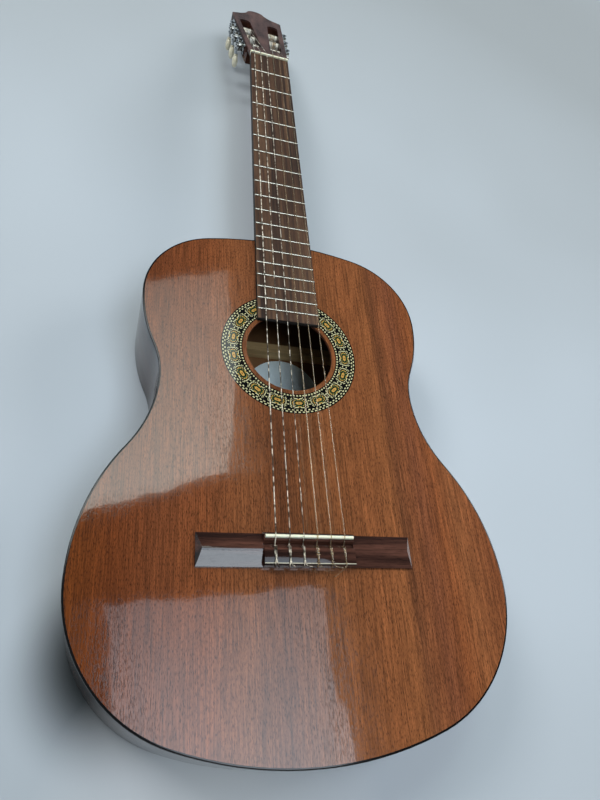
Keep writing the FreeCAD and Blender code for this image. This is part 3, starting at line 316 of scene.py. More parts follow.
# %% [markdown]
# ## Wood
# All the woods are made by one recipe, because wood is one thing: long fibres with pores in them, laid down
# in layers and cut along their length. Three noises are stretched along the grain. The widest gives the
# ribbons of light and dark, the middle one the growth lines, and the finest the pores, which are short dark
# dashes. The widths of ribbons and lines are real ones in millimetres. The pores are drawn 0.5 to 0.9 mm wide,
# because real ones are only 0.2 mm wide and wouldn't show from half a metre. A board that is bent round the
# body has no flat face to draw on, so there the place is taken as a height and a way round the body.


# %% Wood recipe
low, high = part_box("soundboard")
base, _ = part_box("back_plate")
BODY_MIDDLE = ((low.x + high.x) / 2.0, (low.y + high.y) / 2.0, (base.z + high.z) / 2.0)
SIDE_RADIUS = 0.2
WANDERS_PER_METRE = 4.0


def wood_pattern(tree, tones, ribbon, line, pore, wander=3.0, grain=(1.0, 0.02, 1.0),
                 dashes=(1.0, 0.10, 1.0), pore_dark=0.35, line_dark=0.16, mottled=0.0, bands=None,
                 bent_round=False):
    """Colour and pores of a wood, and the place they are drawn at, which wanders as grain does.

    Widths are in mm; grain and dashes are 1 across the fibres and small along them. bands gives the tones by
    place across a board, as (mm, tone) pairs; without it they follow the ribbons. bent_round is for a board
    bent round the body: across it is height, along it is the way round."""
    where = add(tree, "ShaderNodeTexCoord").outputs["Object"]
    if bent_round:
        centred = add(tree, "ShaderNodeVectorMath", {0: where, 1: BODY_MIDDLE}, operation="SUBTRACT").outputs[0]
        flat = add(tree, "ShaderNodeSeparateXYZ", {0: centred}).outputs
        turned = add(tree, "ShaderNodeMath", {0: flat[1], 1: flat[0]}, operation="ARCTAN2").outputs[0]
        way_round = add(tree, "ShaderNodeMath", {0: turned, 1: SIDE_RADIUS}, operation="MULTIPLY").outputs[0]
        where = add(tree, "ShaderNodeCombineXYZ", {0: flat[2], 1: way_round}).outputs[0]
    bend = add(tree, "ShaderNodeTexNoise", {"Vector": where, "Scale": WANDERS_PER_METRE,
                                            "Detail": 1.0}).outputs["Color"]
    shift = add(tree, "ShaderNodeVectorMath", {0: bend, 1: (wander * MM,) * 3}, operation="MULTIPLY").outputs[0]
    bent = add(tree, "ShaderNodeVectorMath", {0: where, 1: shift}, operation="ADD").outputs[0]
    long = add(tree, "ShaderNodeVectorMath", {0: bent, 1: grain}, operation="MULTIPLY").outputs[0]
    short = add(tree, "ShaderNodeVectorMath", {0: bent, 1: dashes}, operation="MULTIPLY").outputs[0]
    wide = add(tree, "ShaderNodeTexNoise", {"Vector": long, "Scale": 1.0 / (ribbon * MM), "Detail": 1.0})
    lines = add(tree, "ShaderNodeTexNoise", {"Vector": long, "Scale": 1.0 / (line * MM), "Detail": 3.0})
    dash = add(tree, "ShaderNodeTexNoise", {"Vector": short, "Scale": 1.0 / (pore * MM), "Detail": 2.0})
    ramp = add(tree, "ShaderNodeValToRGB")
    stops = ramp.color_ramp.elements
    if bands:
        side = add(tree, "ShaderNodeSeparateXYZ", {0: bent}).outputs[0]
        reach = bands[-1][0] - bands[0][0]
        place = add(tree, "ShaderNodeMapRange", {"Value": side, "From Min": bands[0][0] * MM,
                                                 "From Max": bands[-1][0] * MM})
        tree.links.new(place.outputs[0], ramp.inputs["Fac"])
        marks = [((mm - bands[0][0]) / reach, tone) for mm, tone in bands]
    else:
        # Noise seldom leaves the middle third of its range, so the tones are spread over that.
        tree.links.new(wide.outputs["Fac"], ramp.inputs["Fac"])
        marks = [(0.35 + 0.3 * i / (len(tones) - 1), tone) for i, tone in enumerate(tones)]
    stops[0].position, stops[1].position = marks[0][0], marks[-1][0]
    stops[0].color, stops[1].color = linear(marks[0][1]), linear(marks[-1][1])
    for position, tone in marks[1:-1]:
        stops.new(position).color = linear(tone)
    streaks = add(tree, "ShaderNodeMapRange", {"Value": lines.outputs["Fac"], "From Min": 0.3,
                                               "From Max": 0.7, "To Min": 1.0 - line_dark,
                                               "To Max": 1.0 + line_dark})
    holes = add(tree, "ShaderNodeMapRange", {"Value": dash.outputs["Fac"], "From Min": 0.50, "From Max": 0.68,
                                             "To Min": 1.0, "To Max": 1.0 - pore_dark})
    patches = add(tree, "ShaderNodeMapRange", {"Value": wide.outputs["Fac"], "From Min": 0.3, "From Max": 0.7,
                                               "To Min": 1.0 - mottled, "To Max": 1.0 + mottled})
    shade = add(tree, "ShaderNodeMath", {0: streaks.outputs[0], 1: holes.outputs[0]}, operation="MULTIPLY")
    shade = add(tree, "ShaderNodeMath", {0: shade.outputs[0], 1: patches.outputs[0]}, operation="MULTIPLY")
    colour = add(tree, "ShaderNodeVectorMath", {0: ramp.outputs["Color"], 1: shade.outputs[0]},
                 operation="MULTIPLY")
    return colour.outputs[0], holes.outputs[0], bent


print("body middle", [round(v, 4) for v in BODY_MIDDLE])

# %% [markdown]
# ### Lacquer
# A gloss finish is clear lacquer, sprayed on and polished. It could be a thin glass shell round the guitar, but
# the coat layer of the shader mirrors the same way and costs nothing. Left perfect it looks like glass, so it
# has a real coat's three faults. The board under it swells a little every few centimetres, which bends the
# edges of mirrored windows. The coat sinks by some thousandths of a millimetre into the pores, and it is duller
# there.


# %% Lacquer
SWELLS_PER_METRE, SWELL_DEEP, PORE_SINK = 14.0, 0.8, 0.009


def lacquer(tree, where, fine, coat=1.0, haze=0.0):
    """Shader inputs of a clear coat. fine is 1 on the plain wood and less in its pores, coat is how strong the
    coat is, and haze is the gloss that the wood under it has of its own."""
    lying = add(tree, "ShaderNodeVectorMath", {0: where, 1: (1.0, 0.45, 1.0)}, operation="MULTIPLY").outputs[0]
    swell = add(tree, "ShaderNodeTexNoise", {"Vector": lying, "Scale": SWELLS_PER_METRE, "Detail": 2.0})
    gentle = add(tree, "ShaderNodeBump", {"Height": swell.outputs["Fac"], "Distance": SWELL_DEEP * MM})
    soft = add(tree, "ShaderNodeBump", {"Height": fine, "Distance": PORE_SINK * MM,
                                        "Normal": gentle.outputs["Normal"]})
    shine = add(tree, "ShaderNodeMapRange", {"Value": fine, "From Min": 0.4, "To Min": 0.82 * coat,
                                             "To Max": coat})
    return {"Coat Weight": shine.outputs[0], "Coat Roughness": 0.03, "Coat IOR": 1.5,
            "Coat Normal": soft.outputs["Normal"], "Specular IOR Level": haze}


print("lacquer swells by", SWELL_DEEP, "mm, sinks into the pores by", PORE_SINK, "mm")

# %% [markdown]
# ### One board, several faces
# A board of the body is lacquered outside and bare inside, and where the soundhole is cut through the top, the
# sheets of its plywood show. These could be separate pieces, but one material can tell the faces apart: it asks
# whether a face looks away from the body's middle, and whether it stands upright.


# %% Material of a board
PORE_OPEN = 0.03
PLY, PLY_SEAM = 0.87, (0.35, 0.5)


def wood(name, tones, ribbon, line, pore, coat=0.0, haze=0.0, roughness=0.45, inside=None, edge=None,
         sides=None, **more):
    """Material of a wood, bare, oiled or under lacquer.

    inside, for a body panel, is the bare tone of its back. edge, for a panel that has inside too, is the pair
    of tones of its sheets where it is cut through. sides is a tone painted on the upright faces of a board as
    shade."""
    material, tree = blank_material(name)
    colour, holes, bent = wood_pattern(tree, tones, ribbon, line, pore, **more)
    dents = add(tree, "ShaderNodeBump", {"Height": holes, "Distance": PORE_OPEN * MM, "Strength": 0.6})
    inputs = {"Base Color": colour, "Roughness": roughness, "Normal": dents.outputs["Normal"],
              "Specular IOR Level": 0.25}
    if coat:
        inputs.update(lacquer(tree, bent, holes, coat, haze))
    # Painted shade: the upright faces of the board take the sides tone.
    if sides:
        board = add(tree, "ShaderNodeNewGeometry").outputs
        facing = add(tree, "ShaderNodeSeparateXYZ", {0: board["True Normal"]})
        lying = add(tree, "ShaderNodeMath", {0: facing.outputs[2], 1: 0.3}, operation="GREATER_THAN").outputs[0]
        stained = add(tree, "ShaderNodeMix", {"Factor": lying, "A": linear(sides), "B": colour},
                      data_type="RGBA")
        inputs["Base Color"] = stained.outputs[2]
    if inside:
        panel = add(tree, "ShaderNodeNewGeometry").outputs
        middle = add(tree, "ShaderNodeVectorMath", {0: panel["Position"], 1: BODY_MIDDLE}, operation="SUBTRACT")
        facing = add(tree, "ShaderNodeVectorMath", {0: panel["True Normal"], 1: middle.outputs[0]},
                     operation="DOT_PRODUCT").outputs["Value"]
        outer = add(tree, "ShaderNodeMath", {0: facing, 1: 0.0}, operation="GREATER_THAN").outputs[0]
        skin = add(tree, "ShaderNodeMix", {"Factor": outer, "A": linear(inside), "B": colour}, data_type="RGBA")
        inputs["Base Color"] = skin.outputs[2]
        inputs["Coat Weight"] = add(tree, "ShaderNodeMath", {0: outer, 1: inputs["Coat Weight"]},
                                    operation="MULTIPLY").outputs[0]
    if edge:
        upright = add(tree, "ShaderNodeSeparateXYZ", {0: panel["True Normal"]}).outputs[2]
        cut = add(tree, "ShaderNodeMath", {0: upright, 1: 0.0, 2: 0.5}, operation="COMPARE").outputs[0]
        level = add(tree, "ShaderNodeSeparateXYZ", {0: panel["Position"]}).outputs[2]
        ply = add(tree, "ShaderNodeMath", {0: level, 1: PLY * MM}, operation="PINGPONG").outputs[0]
        sheet = add(tree, "ShaderNodeMapRange", {"Value": ply, "From Min": PLY_SEAM[0] * MM,
                                                 "From Max": PLY_SEAM[1] * MM})
        plies = add(tree, "ShaderNodeMix", {"Factor": sheet.outputs[0], "A": linear(edge[0]),
                                            "B": linear(edge[1])}, data_type="RGBA")
        cut_tone = add(tree, "ShaderNodeMix", {"Factor": cut, "A": skin.outputs[2], "B": plies.outputs[2]},
                       data_type="RGBA")
        inputs["Base Color"] = cut_tone.outputs[2]
    surface(tree, inputs)
    print(name, "ribbon", ribbon, "mm, line", line, "mm, pore", pore, "mm")
    return material


# %% Top, back and sides
# Plain-sawn mahogany veneer under clear gloss lacquer: warm, in leaves of slightly different tone, with fine
# pores, and with the windows lying in it as pale patches.
leaves = [(-184, "#66330f"), (-150, "#693415"), (-118, "#6b391d"), (-80, "#7a4323"), (-48, "#7c4929"),
          (-14, "#693d23"), (22, "#7b4a2a"), (66, "#834d2b"), (88, "#86502d"), (97, "#704227"),
          (106, "#814b2c"), (117, "#76442a"), (134, "#854b29"), (150, "#8d5430"), (184, "#7c4526")]
top_wood = wood("mahogany_gloss_lacquered", (), 9.0, 1.0, 0.5, coat=1.0, haze=0.025, bands=leaves,
                dashes=(1.0, 0.17, 1.0), grain=(1.0, 0.03, 1.0), pore_dark=0.66, line_dark=0.42, mottled=0.12,
                roughness=0.28, inside="#8a6745", edge=("#4a2b22", "#744a3a"))
finish(top_wood, "soundboard")
# The same wood stained dark for the sides and the back, also under gloss lacquer. So dark a ground hides the
# figure, and what the eye sees is mostly the paper that the coat mirrors.
BODY_TONES = ["#2c1710", "#3a1f15", "#48281a"]
back_wood = wood("mahogany_stained_gloss_lacquered", BODY_TONES, 14.0, 1.5, 0.7, coat=1.0, line_dark=0.3,
                 inside="#7c5b3e")
finish(back_wood, "back_plate")
side_wood = wood("mahogany_bent_stained_gloss_lacquered", BODY_TONES, 9.0, 1.2, 0.7, coat=1.0, line_dark=0.3,
                 inside="#7c5b3e", bent_round=True)
finish(side_wood, "side_bass", "side_treble")

# %% Neck, head, fingerboard and bridge
# Neck and head of a plainer mahogany, satin where the hand slides: dark, with a soft sheen and no mirror.
neck_wood = wood("mahogany_satin_lacquered", ["#301b16", "#3d241d", "#4a2d23"], 18.0, 2.5, 0.8, coat=0.3)
finish(neck_wood, "neck", "headstock")
# A leaf of rosewood faces the head, greyer than the neck, under a thin satin coat.
head_wood = wood("rosewood_veneer_satin_lacquered", ["#3a2825", "#4c3531", "#5a403a"], 14.0, 2.0, 0.8,
                 coat=0.25, roughness=0.5)
finish(head_wood, "head_veneer")
# The fingerboard is oiled, not lacquered, so it stays dull and its streaks show. Its sides are painted near
# black as shade.
rosewood = wood("rosewood_oiled_painted_side_shade", ["#2b1b13", "#462e20", "#5e432f"], 5.0, 1.2, 0.8, roughness=0.6,
                line_dark=0.35, sides="#17110d")
finish(rosewood, "fingerboard")
# The bridge is rosewood polished to a gloss. Its grain runs across the guitar, so streaks follow its wings.
bridge_wood = wood("rosewood_polished", ["#1c0f0c", "#351f18", "#503228"], 11.0, 1.6, 0.9, coat=1.0,
                   grain=(0.05, 1.0, 1.0), dashes=(0.12, 1.0, 1.0), line_dark=0.35, wander=9.0)
finish(bridge_wood, "bridge")

# %% Bare woods inside the body
# Planed spruce is pale and dull and has hardly any pores.
spruce = wood("spruce_bare", ["#97774f", "#a98a5e"], 12.0, 1.8, 0.5, pore_dark=0.1, roughness=0.7)
finish(spruce, "fan_braces")
# The bars go across the body and so does their grain. One shows in the soundhole, as a pale strip.
cross_spruce = wood("spruce_bare_cross_grain", ["#b79a6c", "#cdb283"], 12.0, 1.8, 0.5, pore_dark=0.1,
                    grain=(0.02, 1.0, 1.0), dashes=(0.1, 1.0, 1.0), roughness=0.7)
finish(cross_spruce, "harmonic_bars", "back_braces")
# Lime is as dull as spruce, browner, and so even that it shows almost no figure.
lime = wood("lime_wood_bare", ["#8d6d4b", "#9f7f5b"], 20.0, 3.0, 0.5, pore_dark=0.1, roughness=0.7)
finish(lime, "neck_block", "tail_block", "top_linings", "back_linings")


# %% [markdown]
# ## Plain finishes
# Plastic, bone, paper and metal have no grain, and one flat colour each would do for a toy. Real ones are
# faintly mottled, and handling has left their gloss uneven. So one noise, of a real size in millimetres, moves
# both the colour and the roughness a little, and that breaks up the highlights.


# %% Recipe of a plain finish
STRINGS = range(1, 7)


def plain(name, dark, light, size, roughness, metallic=0.0, **more):
    """Material with a faint mottling of a real size in mm between two close tones."""
    material, tree = blank_material(name)
    where = add(tree, "ShaderNodeTexCoord").outputs["Object"]
    mottle = add(tree, "ShaderNodeTexNoise", {"Vector": where, "Scale": 1.0 / (size * MM), "Detail": 3.0})
    tone = add(tree, "ShaderNodeMix", {"Factor": mottle.outputs["Fac"], "A": linear(dark), "B": linear(light)},
               data_type="RGBA")
    gloss = add(tree, "ShaderNodeMapRange", {"Value": mottle.outputs["Fac"], "To Min": roughness * 0.8,
                                             "To Max": roughness * 1.3})
    surface(tree, {"Base Color": tone.outputs[2], "Roughness": gloss.outputs[0], "Metallic": metallic, **more})
    print(name, "mottling", size, "mm")
    return material


# %% Binding, nut, saddle and trim
# Black ABS, scraped round and polished: black all over, with a thin dim highlight along its rounded edge.
binding = plain("abs_black_polished", "#0a0909", "#131111", 8.0, 0.12,
                **{"Coat Weight": 0.15, "Specular IOR Level": 0.25})
finish(binding, "binding_top", "binding_back", "end_graft", "heel_cap")
# Bone, sanded and polished. Light goes a little way into it, so it looks soft and warm, not chalky.
bone = plain("bone_polished", "#e9e6c6", "#f7f5dd", 3.0, 0.25,
             **{"Subsurface Weight": 0.1, "Subsurface Scale": 0.002})
finish(bone, "nut", "saddle")
# Ivory-coloured ABS, polished: greyer than the bone, and flatter, as no light goes into it.
trim_white = plain("abs_ivory_polished", "#aea792", "#c2bba6", 4.0, 0.25)
finish(trim_white, "tie_block_trim")

# %% Frets and machines
# Nickel silver, drawn and polished: a slightly warm grey mirror, so each fret is a bright line.
fret_metal = plain("nickel_silver_polished", "#918c80", "#b3aea0", 2.0, 0.2, metallic=1.0)
finish(fret_metal, "frets")
# Chrome plate on steel mirrors most sharply, zinc-nickel plate is greyer and softer, and nickel plate is pale.
chrome = plain("steel_chrome_plated", "#6f7376", "#b9bcbe", 2.0, 0.08, metallic=1.0)
gears = plain("zinc_nickel_plated", "#64625e", "#aaa8a1", 1.5, 0.15, metallic=1.0)
screws = plain("steel_nickel_plated", "#8f8f8d", "#b5b5b2", 1.0, 0.15, metallic=1.0)
finish(chrome, "tuner_plate_treble", "tuner_plate_bass", *["worm_%d" % n for n in STRINGS])
finish(gears, *["gear_%d" % n for n in STRINGS])
finish(screws, "plate_screws")
# Moulded nylon: ivory, with a broad soft highlight.
roller_plastic = plain("nylon_moulded_ivory", "#e4dfcf", "#f1ede0", 5.0, 0.3)
finish(roller_plastic, *["roller_%d" % n for n in STRINGS])
# Moulded pearl acrylic: cream clouds of a few millimetres under a tight highlight.
pearl = plain("acrylic_pearl_moulded", "#cbbf9c", "#ece5cf", 3.5, 0.15)
finish(pearl, *["button_%d" % n for n in STRINGS])

# %% Label
# Bare paper scatters light evenly: a pale dull patch inside the soundhole, with no highlight.
paper = plain("paper_label_bare", "#cedee0", "#e2eeee", 6.0, 0.8)
finish(paper, "label")

# %% [markdown]
# ## Mosaic round the soundhole
# A rosette is made of thin wood sticks, dyed and glued into blocks, then sliced into tiles and laid in a ring
# groove. Its pattern is a traditional one: a chain of 17 oval eyes, with a red middle and rings of gold, black,
# green and cream round it, and rows of black and cream checks at the rims, one at the inner rim and two at the
# outer. An image could hold it, but a rule can draw it: the place on the ring is taken as a radius and an
# angle, both are cut into tiles, and the number of tiles from the nearest eye's middle picks the colour. In the
# middle of the ring a tile is 0.87 mm long and 0.94 mm wide, about the size of real ones.

# %% Place on the ring
ring_low, ring_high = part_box("rosette")
ring_middle = (ring_low + ring_high) / 2.0
GOLD, CREAM, GREEN, BLACK, RED = "#bc944a", "#c6c094", "#27492f", "#080908", "#7a3524"
# Dyed wood under gloss lacquer: dull colours of their own, and the top's mirror lying evenly over them.
mosaic, tree = blank_material("dyed_wood_mosaic_gloss_lacquered")
where = add(tree, "ShaderNodeTexCoord").outputs["Object"]
centred = add(tree, "ShaderNodeVectorMath", {0: where, 1: ring_middle}, operation="SUBTRACT").outputs[0]
flat = add(tree, "ShaderNodeVectorMath", {0: centred, 1: (1.0, 1.0, 0.0)}, operation="MULTIPLY").outputs[0]
reach = add(tree, "ShaderNodeVectorMath", {0: flat}, operation="LENGTH").outputs["Value"]
radius = add(tree, "ShaderNodeMath", {0: reach, 1: 1.0 / MM}, operation="MULTIPLY").outputs[0]
sides = add(tree, "ShaderNodeSeparateXYZ", {0: flat}).outputs
angle = add(tree, "ShaderNodeMath", {0: sides[1], 1: sides[0]}, operation="ARCTAN2").outputs[0]
print("mosaic ring", round(ring_high.x - ring_low.x, 4), "m across")

# %% Chain of eyes
# How far along the chain, in tiles, and how far from the middle of the nearest eye.
EYES, TILES_EACH, ROWS = 17, 24, 13
BAND_IN, BAND_OUT = 50.3, 62.5
along = add(tree, "ShaderNodeMath", {0: angle, 1: EYES * TILES_EACH / (2.0 * math.pi)}, operation="MULTIPLY")
tile = add(tree, "ShaderNodeMath", {0: along.outputs[0]}, operation="FLOOR").outputs[0]
middle = add(tree, "ShaderNodeMath", {0: tile, 1: 0.5}, operation="ADD").outputs[0]
beside = add(tree, "ShaderNodeMath", {0: middle, 1: TILES_EACH / 2.0}, operation="PINGPONG").outputs[0]
row = add(tree, "ShaderNodeMapRange", {"Value": radius, "From Min": BAND_IN, "From Max": BAND_OUT,
                                       "To Max": float(ROWS)}).outputs[0]
row = add(tree, "ShaderNodeMath", {0: row}, operation="FLOOR").outputs[0]
row = add(tree, "ShaderNodeMath", {0: row, 1: ROWS / 2.0 - 0.5}, operation="SUBTRACT").outputs[0]
above = add(tree, "ShaderNodeMath", {0: row}, operation="ABSOLUTE").outputs[0]

# Rings round an eye: each begins so many steps from its middle. A tile counts as 0.57 steps along the ring and
# as 1.05 across it, which makes the eyes oval.
STEPS_ALONG, STEPS_ACROSS, MOST_STEPS = 0.57, 1.05, 10.0
RINGS = [(0.0, RED), (0.7, GOLD), (2.1, BLACK), (3.0, GREEN), (3.8, GOLD), (4.3, BLACK), (5.3, CREAM),
         (5.9, BLACK), (6.8, CREAM), (7.2, BLACK)]
oval = add(tree, "ShaderNodeCombineXYZ", {0: beside, 1: above}).outputs[0]
oval = add(tree, "ShaderNodeVectorMath", {0: oval, 1: (STEPS_ALONG, STEPS_ACROSS, 0.0)},
           operation="MULTIPLY").outputs[0]
steps = add(tree, "ShaderNodeVectorMath", {0: oval}, operation="LENGTH").outputs["Value"]
share = add(tree, "ShaderNodeMath", {0: steps, 1: MOST_STEPS}, operation="DIVIDE").outputs[0]
chain = add(tree, "ShaderNodeValToRGB", {"Fac": share})
chain.color_ramp.interpolation = "CONSTANT"
stops = chain.color_ramp.elements
stops[0].color, stops[1].position, stops[1].color = linear(RINGS[0][1]), 1.0, linear(BLACK)
for step, tone in RINGS[1:]:
    stops.new(step / MOST_STEPS).color = linear(tone)
print(EYES, "eyes, tiles", round(math.pi * (BAND_IN + BAND_OUT) / (EYES * TILES_EACH), 2), "mm by",
      round((BAND_OUT - BAND_IN) / ROWS, 2), "mm")

# %% Rows of checks
# Lanes 1.7 mm wide are counted from a radius. The two rows at the outer rim lie in neighbouring lanes, so
# their checks are one apart.
CHECKS, CHECK_START, CHECK_WIDE = 200, 46.2, 1.7
turn = add(tree, "ShaderNodeMath", {0: angle, 1: CHECKS / (2.0 * math.pi)}, operation="MULTIPLY").outputs[0]
turn = add(tree, "ShaderNodeMath", {0: turn}, operation="FLOOR").outputs[0]
lane = add(tree, "ShaderNodeMath", {0: radius, 1: CHECK_START}, operation="SUBTRACT").outputs[0]
lane = add(tree, "ShaderNodeMath", {0: lane, 1: CHECK_WIDE}, operation="DIVIDE").outputs[0]
lane = add(tree, "ShaderNodeMath", {0: lane}, operation="FLOOR").outputs[0]
both = add(tree, "ShaderNodeMath", {0: turn, 1: lane}, operation="ADD").outputs[0]
check = add(tree, "ShaderNodeMath", {0: both, 1: 1.0}, operation="PINGPONG").outputs[0]
checks = add(tree, "ShaderNodeMix", {"Factor": check, "A": linear(BLACK), "B": linear(CREAM)}, data_type="RGBA")
print(CHECKS, "checks in a row")

# %% Put the mosaic together
# Which ring is where, from the inner rim outwards: red marks the rows of checks, green the chain of eyes, and
# black the plain black lines between them.
RING_IN, RING_OUT = 47.0, 67.5
plan = add(tree, "ShaderNodeValToRGB", {"Fac": add(tree, "ShaderNodeMapRange", {
    "Value": radius, "From Min": RING_IN, "From Max": RING_OUT}).outputs[0]})
plan.color_ramp.interpolation = "CONSTANT"
gap, checked, laid = (0.0, 0.0, 0.0, 1.0), (1.0, 0.0, 0.0, 1.0), (0.0, 1.0, 0.0, 1.0)
layout = [(47.9, checked), (49.4, gap), (BAND_IN, laid), (BAND_OUT, gap), (63.2, checked), (64.3, gap),
          (65.2, checked), (66.4, gap)]
stops = plan.color_ramp.elements
stops[0].color, stops[1].color = gap, gap
for edge, kind in layout:
    stops.new((edge - RING_IN) / (RING_OUT - RING_IN)).color = kind
which = add(tree, "ShaderNodeSeparateColor", {0: plan.outputs["Color"]}).outputs
tone = add(tree, "ShaderNodeMix", {"Factor": which[0], "A": linear(BLACK), "B": checks.outputs[2]},
           data_type="RGBA")
tone = add(tree, "ShaderNodeMix", {"Factor": which[1], "A": tone.outputs[2], "B": chain.outputs["Color"]},
           data_type="RGBA")
FIBRE = 0.9
fibre = add(tree, "ShaderNodeTexNoise", {"Vector": where, "Scale": 1.0 / (FIBRE * MM), "Detail": 1.0})
shade = add(tree, "ShaderNodeMapRange", {"Value": fibre.outputs["Fac"], "To Min": 0.75, "To Max": 1.2})
dyed = add(tree, "ShaderNodeVectorMath", {0: tone.outputs[2], 1: shade.outputs[0]}, operation="MULTIPLY")
surface(tree, {"Base Color": dyed.outputs[0], "Roughness": 0.5, **lacquer(tree, where, fibre.outputs["Fac"])})
finish(mosaic, "rosette")
print("plan of the ring from", RING_IN, "to", RING_OUT, "mm, changing at", [edge for edge, _ in layout])

# %% [markdown]
# ## Edges that catch the light
# No edge of a real guitar is knife-sharp: bindings are scraped round, and the bridge and the fingerboard are
# eased with fine paper. Those small rounds are what draws a thin bright line along a piece. The CAD pieces have
# sharp edges, so these four are copied, their triangles are merged into whole faces, and their edges are
# bevelled in three steps. A bevel in the material would be gone from the mesh.

# %% Ease the edges
# Points and heights this near in mm count as one, and faces this near in degrees as one flat face.
SAME_POINT, SAME_HEIGHT, FLAT_WITHIN = 0.001, 0.2, 1.0


def eased(node, name, width, keep, angle=40.0):
    """Copy of a CAD piece with its sharp edges rounded; keep says which edges."""
    mesh = frame["nodes"][node].data.copy()
    material = mesh.materials[0]
    bm = bmesh.new()
    bm.from_mesh(mesh)
    bmesh.ops.remove_doubles(bm, verts=bm.verts, dist=SAME_POINT * MM)
    bmesh.ops.dissolve_limit(bm, angle_limit=math.radians(FLAT_WITHIN), verts=bm.verts, edges=bm.edges)
    sharp = [edge for edge in bm.edges if edge.is_manifold and edge.calc_face_angle() > math.radians(angle)
             and keep(edge)]
    bmesh.ops.bevel(bm, geom=sharp, offset=width * MM, offset_type="OFFSET", affect="EDGES", segments=3,
                    profile=0.5, material=-1, clamp_overlap=True)
    bmesh.ops.triangulate(bm, faces=bm.faces)
    bm.to_mesh(mesh)
    bm.free()
    piece = put(name, mesh, material, replaced=(node,))
    mesh.set_sharp_from_angle(angle=math.radians(angle))
    level = piece.modifiers.new("flat_faces_stay_flat", "WEIGHTED_NORMAL")
    level.keep_sharp, level.weight = True, 100
    print(name, len(sharp), "edges eased by", width, "mm")


def outward(edge):
    """True where a body's flat face turns into its wall."""
    middle = (edge.verts[0].co + edge.verts[1].co) / 2.0 - Vector(BODY_MIDDLE)
    return any(abs(face.normal.z) < 0.5 and face.normal.dot(middle) > 0.0 for face in edge.link_faces)


def at_rim(edge, rim):
    """True for an outward edge whose two ends lie at one height."""
    return outward(edge) and all(abs(vert.co.z - rim) < SAME_HEIGHT * MM for vert in edge.verts)


def off_the_top(edge):
    """True for an edge of the bridge, unless all of it is glued to the soundboard."""
    return max(vert.co.z for vert in edge.verts) > bridge_foot + 0.5 * MM


def along_board(edge):
    """True for a long upper edge of the fingerboard."""
    one, other = (vert.co for vert in edge.verts)
    lengthwise = abs(one.x - other.x) < 0.1 * abs(one.y - other.y)
    return lengthwise and min(one.z, other.z) > board_top - SAME_HEIGHT * MM


SCRAPED, SANDED = 1.1, 0.5
top_z, back_z = high.z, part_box("binding_back")[0].z
bridge_foot, board_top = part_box("bridge")[0].z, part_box("fingerboard")[1].z
eased("binding_top", "binding_top_scraped", SCRAPED, lambda edge: at_rim(edge, top_z))
eased("binding_back", "binding_back_scraped", SCRAPED, lambda edge: at_rim(edge, back_z))
eased("bridge", "bridge_eased", SANDED, off_the_top, angle=30.0)
eased("fingerboard", "fingerboard_eased", SANDED, along_board)

# %% [markdown]
# ## Strings
# Three strings are clear nylon and three are nylon floss wound with silvered copper wire. Each is one wire from
# its knot on the bridge to its turns on the roller. A poly-line that is extruded and bevelled would have
# stiff corners, so each is a NURBS curve with a round bevel: two control points close to a corner make a
# tight bend there, and a straight run stays straight. Only a few points are needed: where the string bears on
# the saddle and the nut, and a loop of them for the turns.

# %% Where the strings run
DIAMETER = {1: 0.72, 2: 0.82, 3: 1.03, 4: 0.76, 5: 0.91, 6: 1.12}
NUT_SPREAD, SADDLE_SPREAD = 41.5, 59.0
OVER_FRETS, OFF_SADDLE = 0.6, 0.03
BEHIND_TRIM, OVER_TRIM, BLOCK_LENGTH, HOLE_OVER_TOP = 1.3, 0.4, 14.4, 4.7
nut_box, saddle_box, trim_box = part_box("nut"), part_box("saddle"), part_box("tie_block_trim")
fret_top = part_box("frets")[1].z
saddle_middle = (saddle_box[0] + saddle_box[1]) / 2.0
nut_middle = (nut_box[0] + nut_box[1]) / 2.0
BLOCK_REAR, BLOCK_TOP = trim_box[0].y - BEHIND_TRIM * MM, trim_box[1].z + OVER_TRIM * MM
BLOCK_FRONT = BLOCK_REAR + BLOCK_LENGTH * MM
HOLE_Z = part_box("soundboard")[1].z + HOLE_OVER_TOP * MM
print("strings bear on the saddle at y", round(saddle_middle.y, 4), "and on the nut at y",
      round(nut_middle.y, 4))


def over_nut(number):
    """Middle of a string above the nut."""
    return Vector((NUT_SPREAD * (0.5 - (number - 1) / 5.0) * MM, nut_middle.y,
                   fret_top + (OVER_FRETS + DIAMETER[number] / 2.0) * MM))


def over_saddle(number):
    """Middle of a string above the saddle."""
    across = saddle_middle.x + SADDLE_SPREAD * (0.5 - (number - 1) / 5.0) * MM
    return Vector((across, saddle_middle.y, saddle_box[1].z + (OFF_SADDLE + DIAMETER[number] / 2.0) * MM))


# %% [markdown]
# ### Turns on the roller
# A string lies on top of its roller, goes round it towards the side of the head and ends in the hole drilled
# through the roller. The roller's axis comes from its joint, so the turns are sure to sit on it. A loop over
# the angle gives the helix: turns that nearly touch, and no more of them than there is room for. Control points
# pull a curve only part of the way to them, so they stand a little further out than the string runs.

# %% Turns on the roller
# In mm, but where the turns begin and where the hole is are shares of the slot's width, turns are spaced in
# diameters, and a step is in degrees.
ROLLER_R, SLOT_WALL, SLOT_W = 5.0, 6.5, 15.5
WIND_AT = (0.42, 0.55, 0.72)
STRING_HOLE_AT = 0.25
OFF_ROLLER, TURN_SPACING, MOST_TURNS, STEP = 0.06, 1.08, 4, 30
joints = {joint["name"]: joint for joint in frame["joints"]}


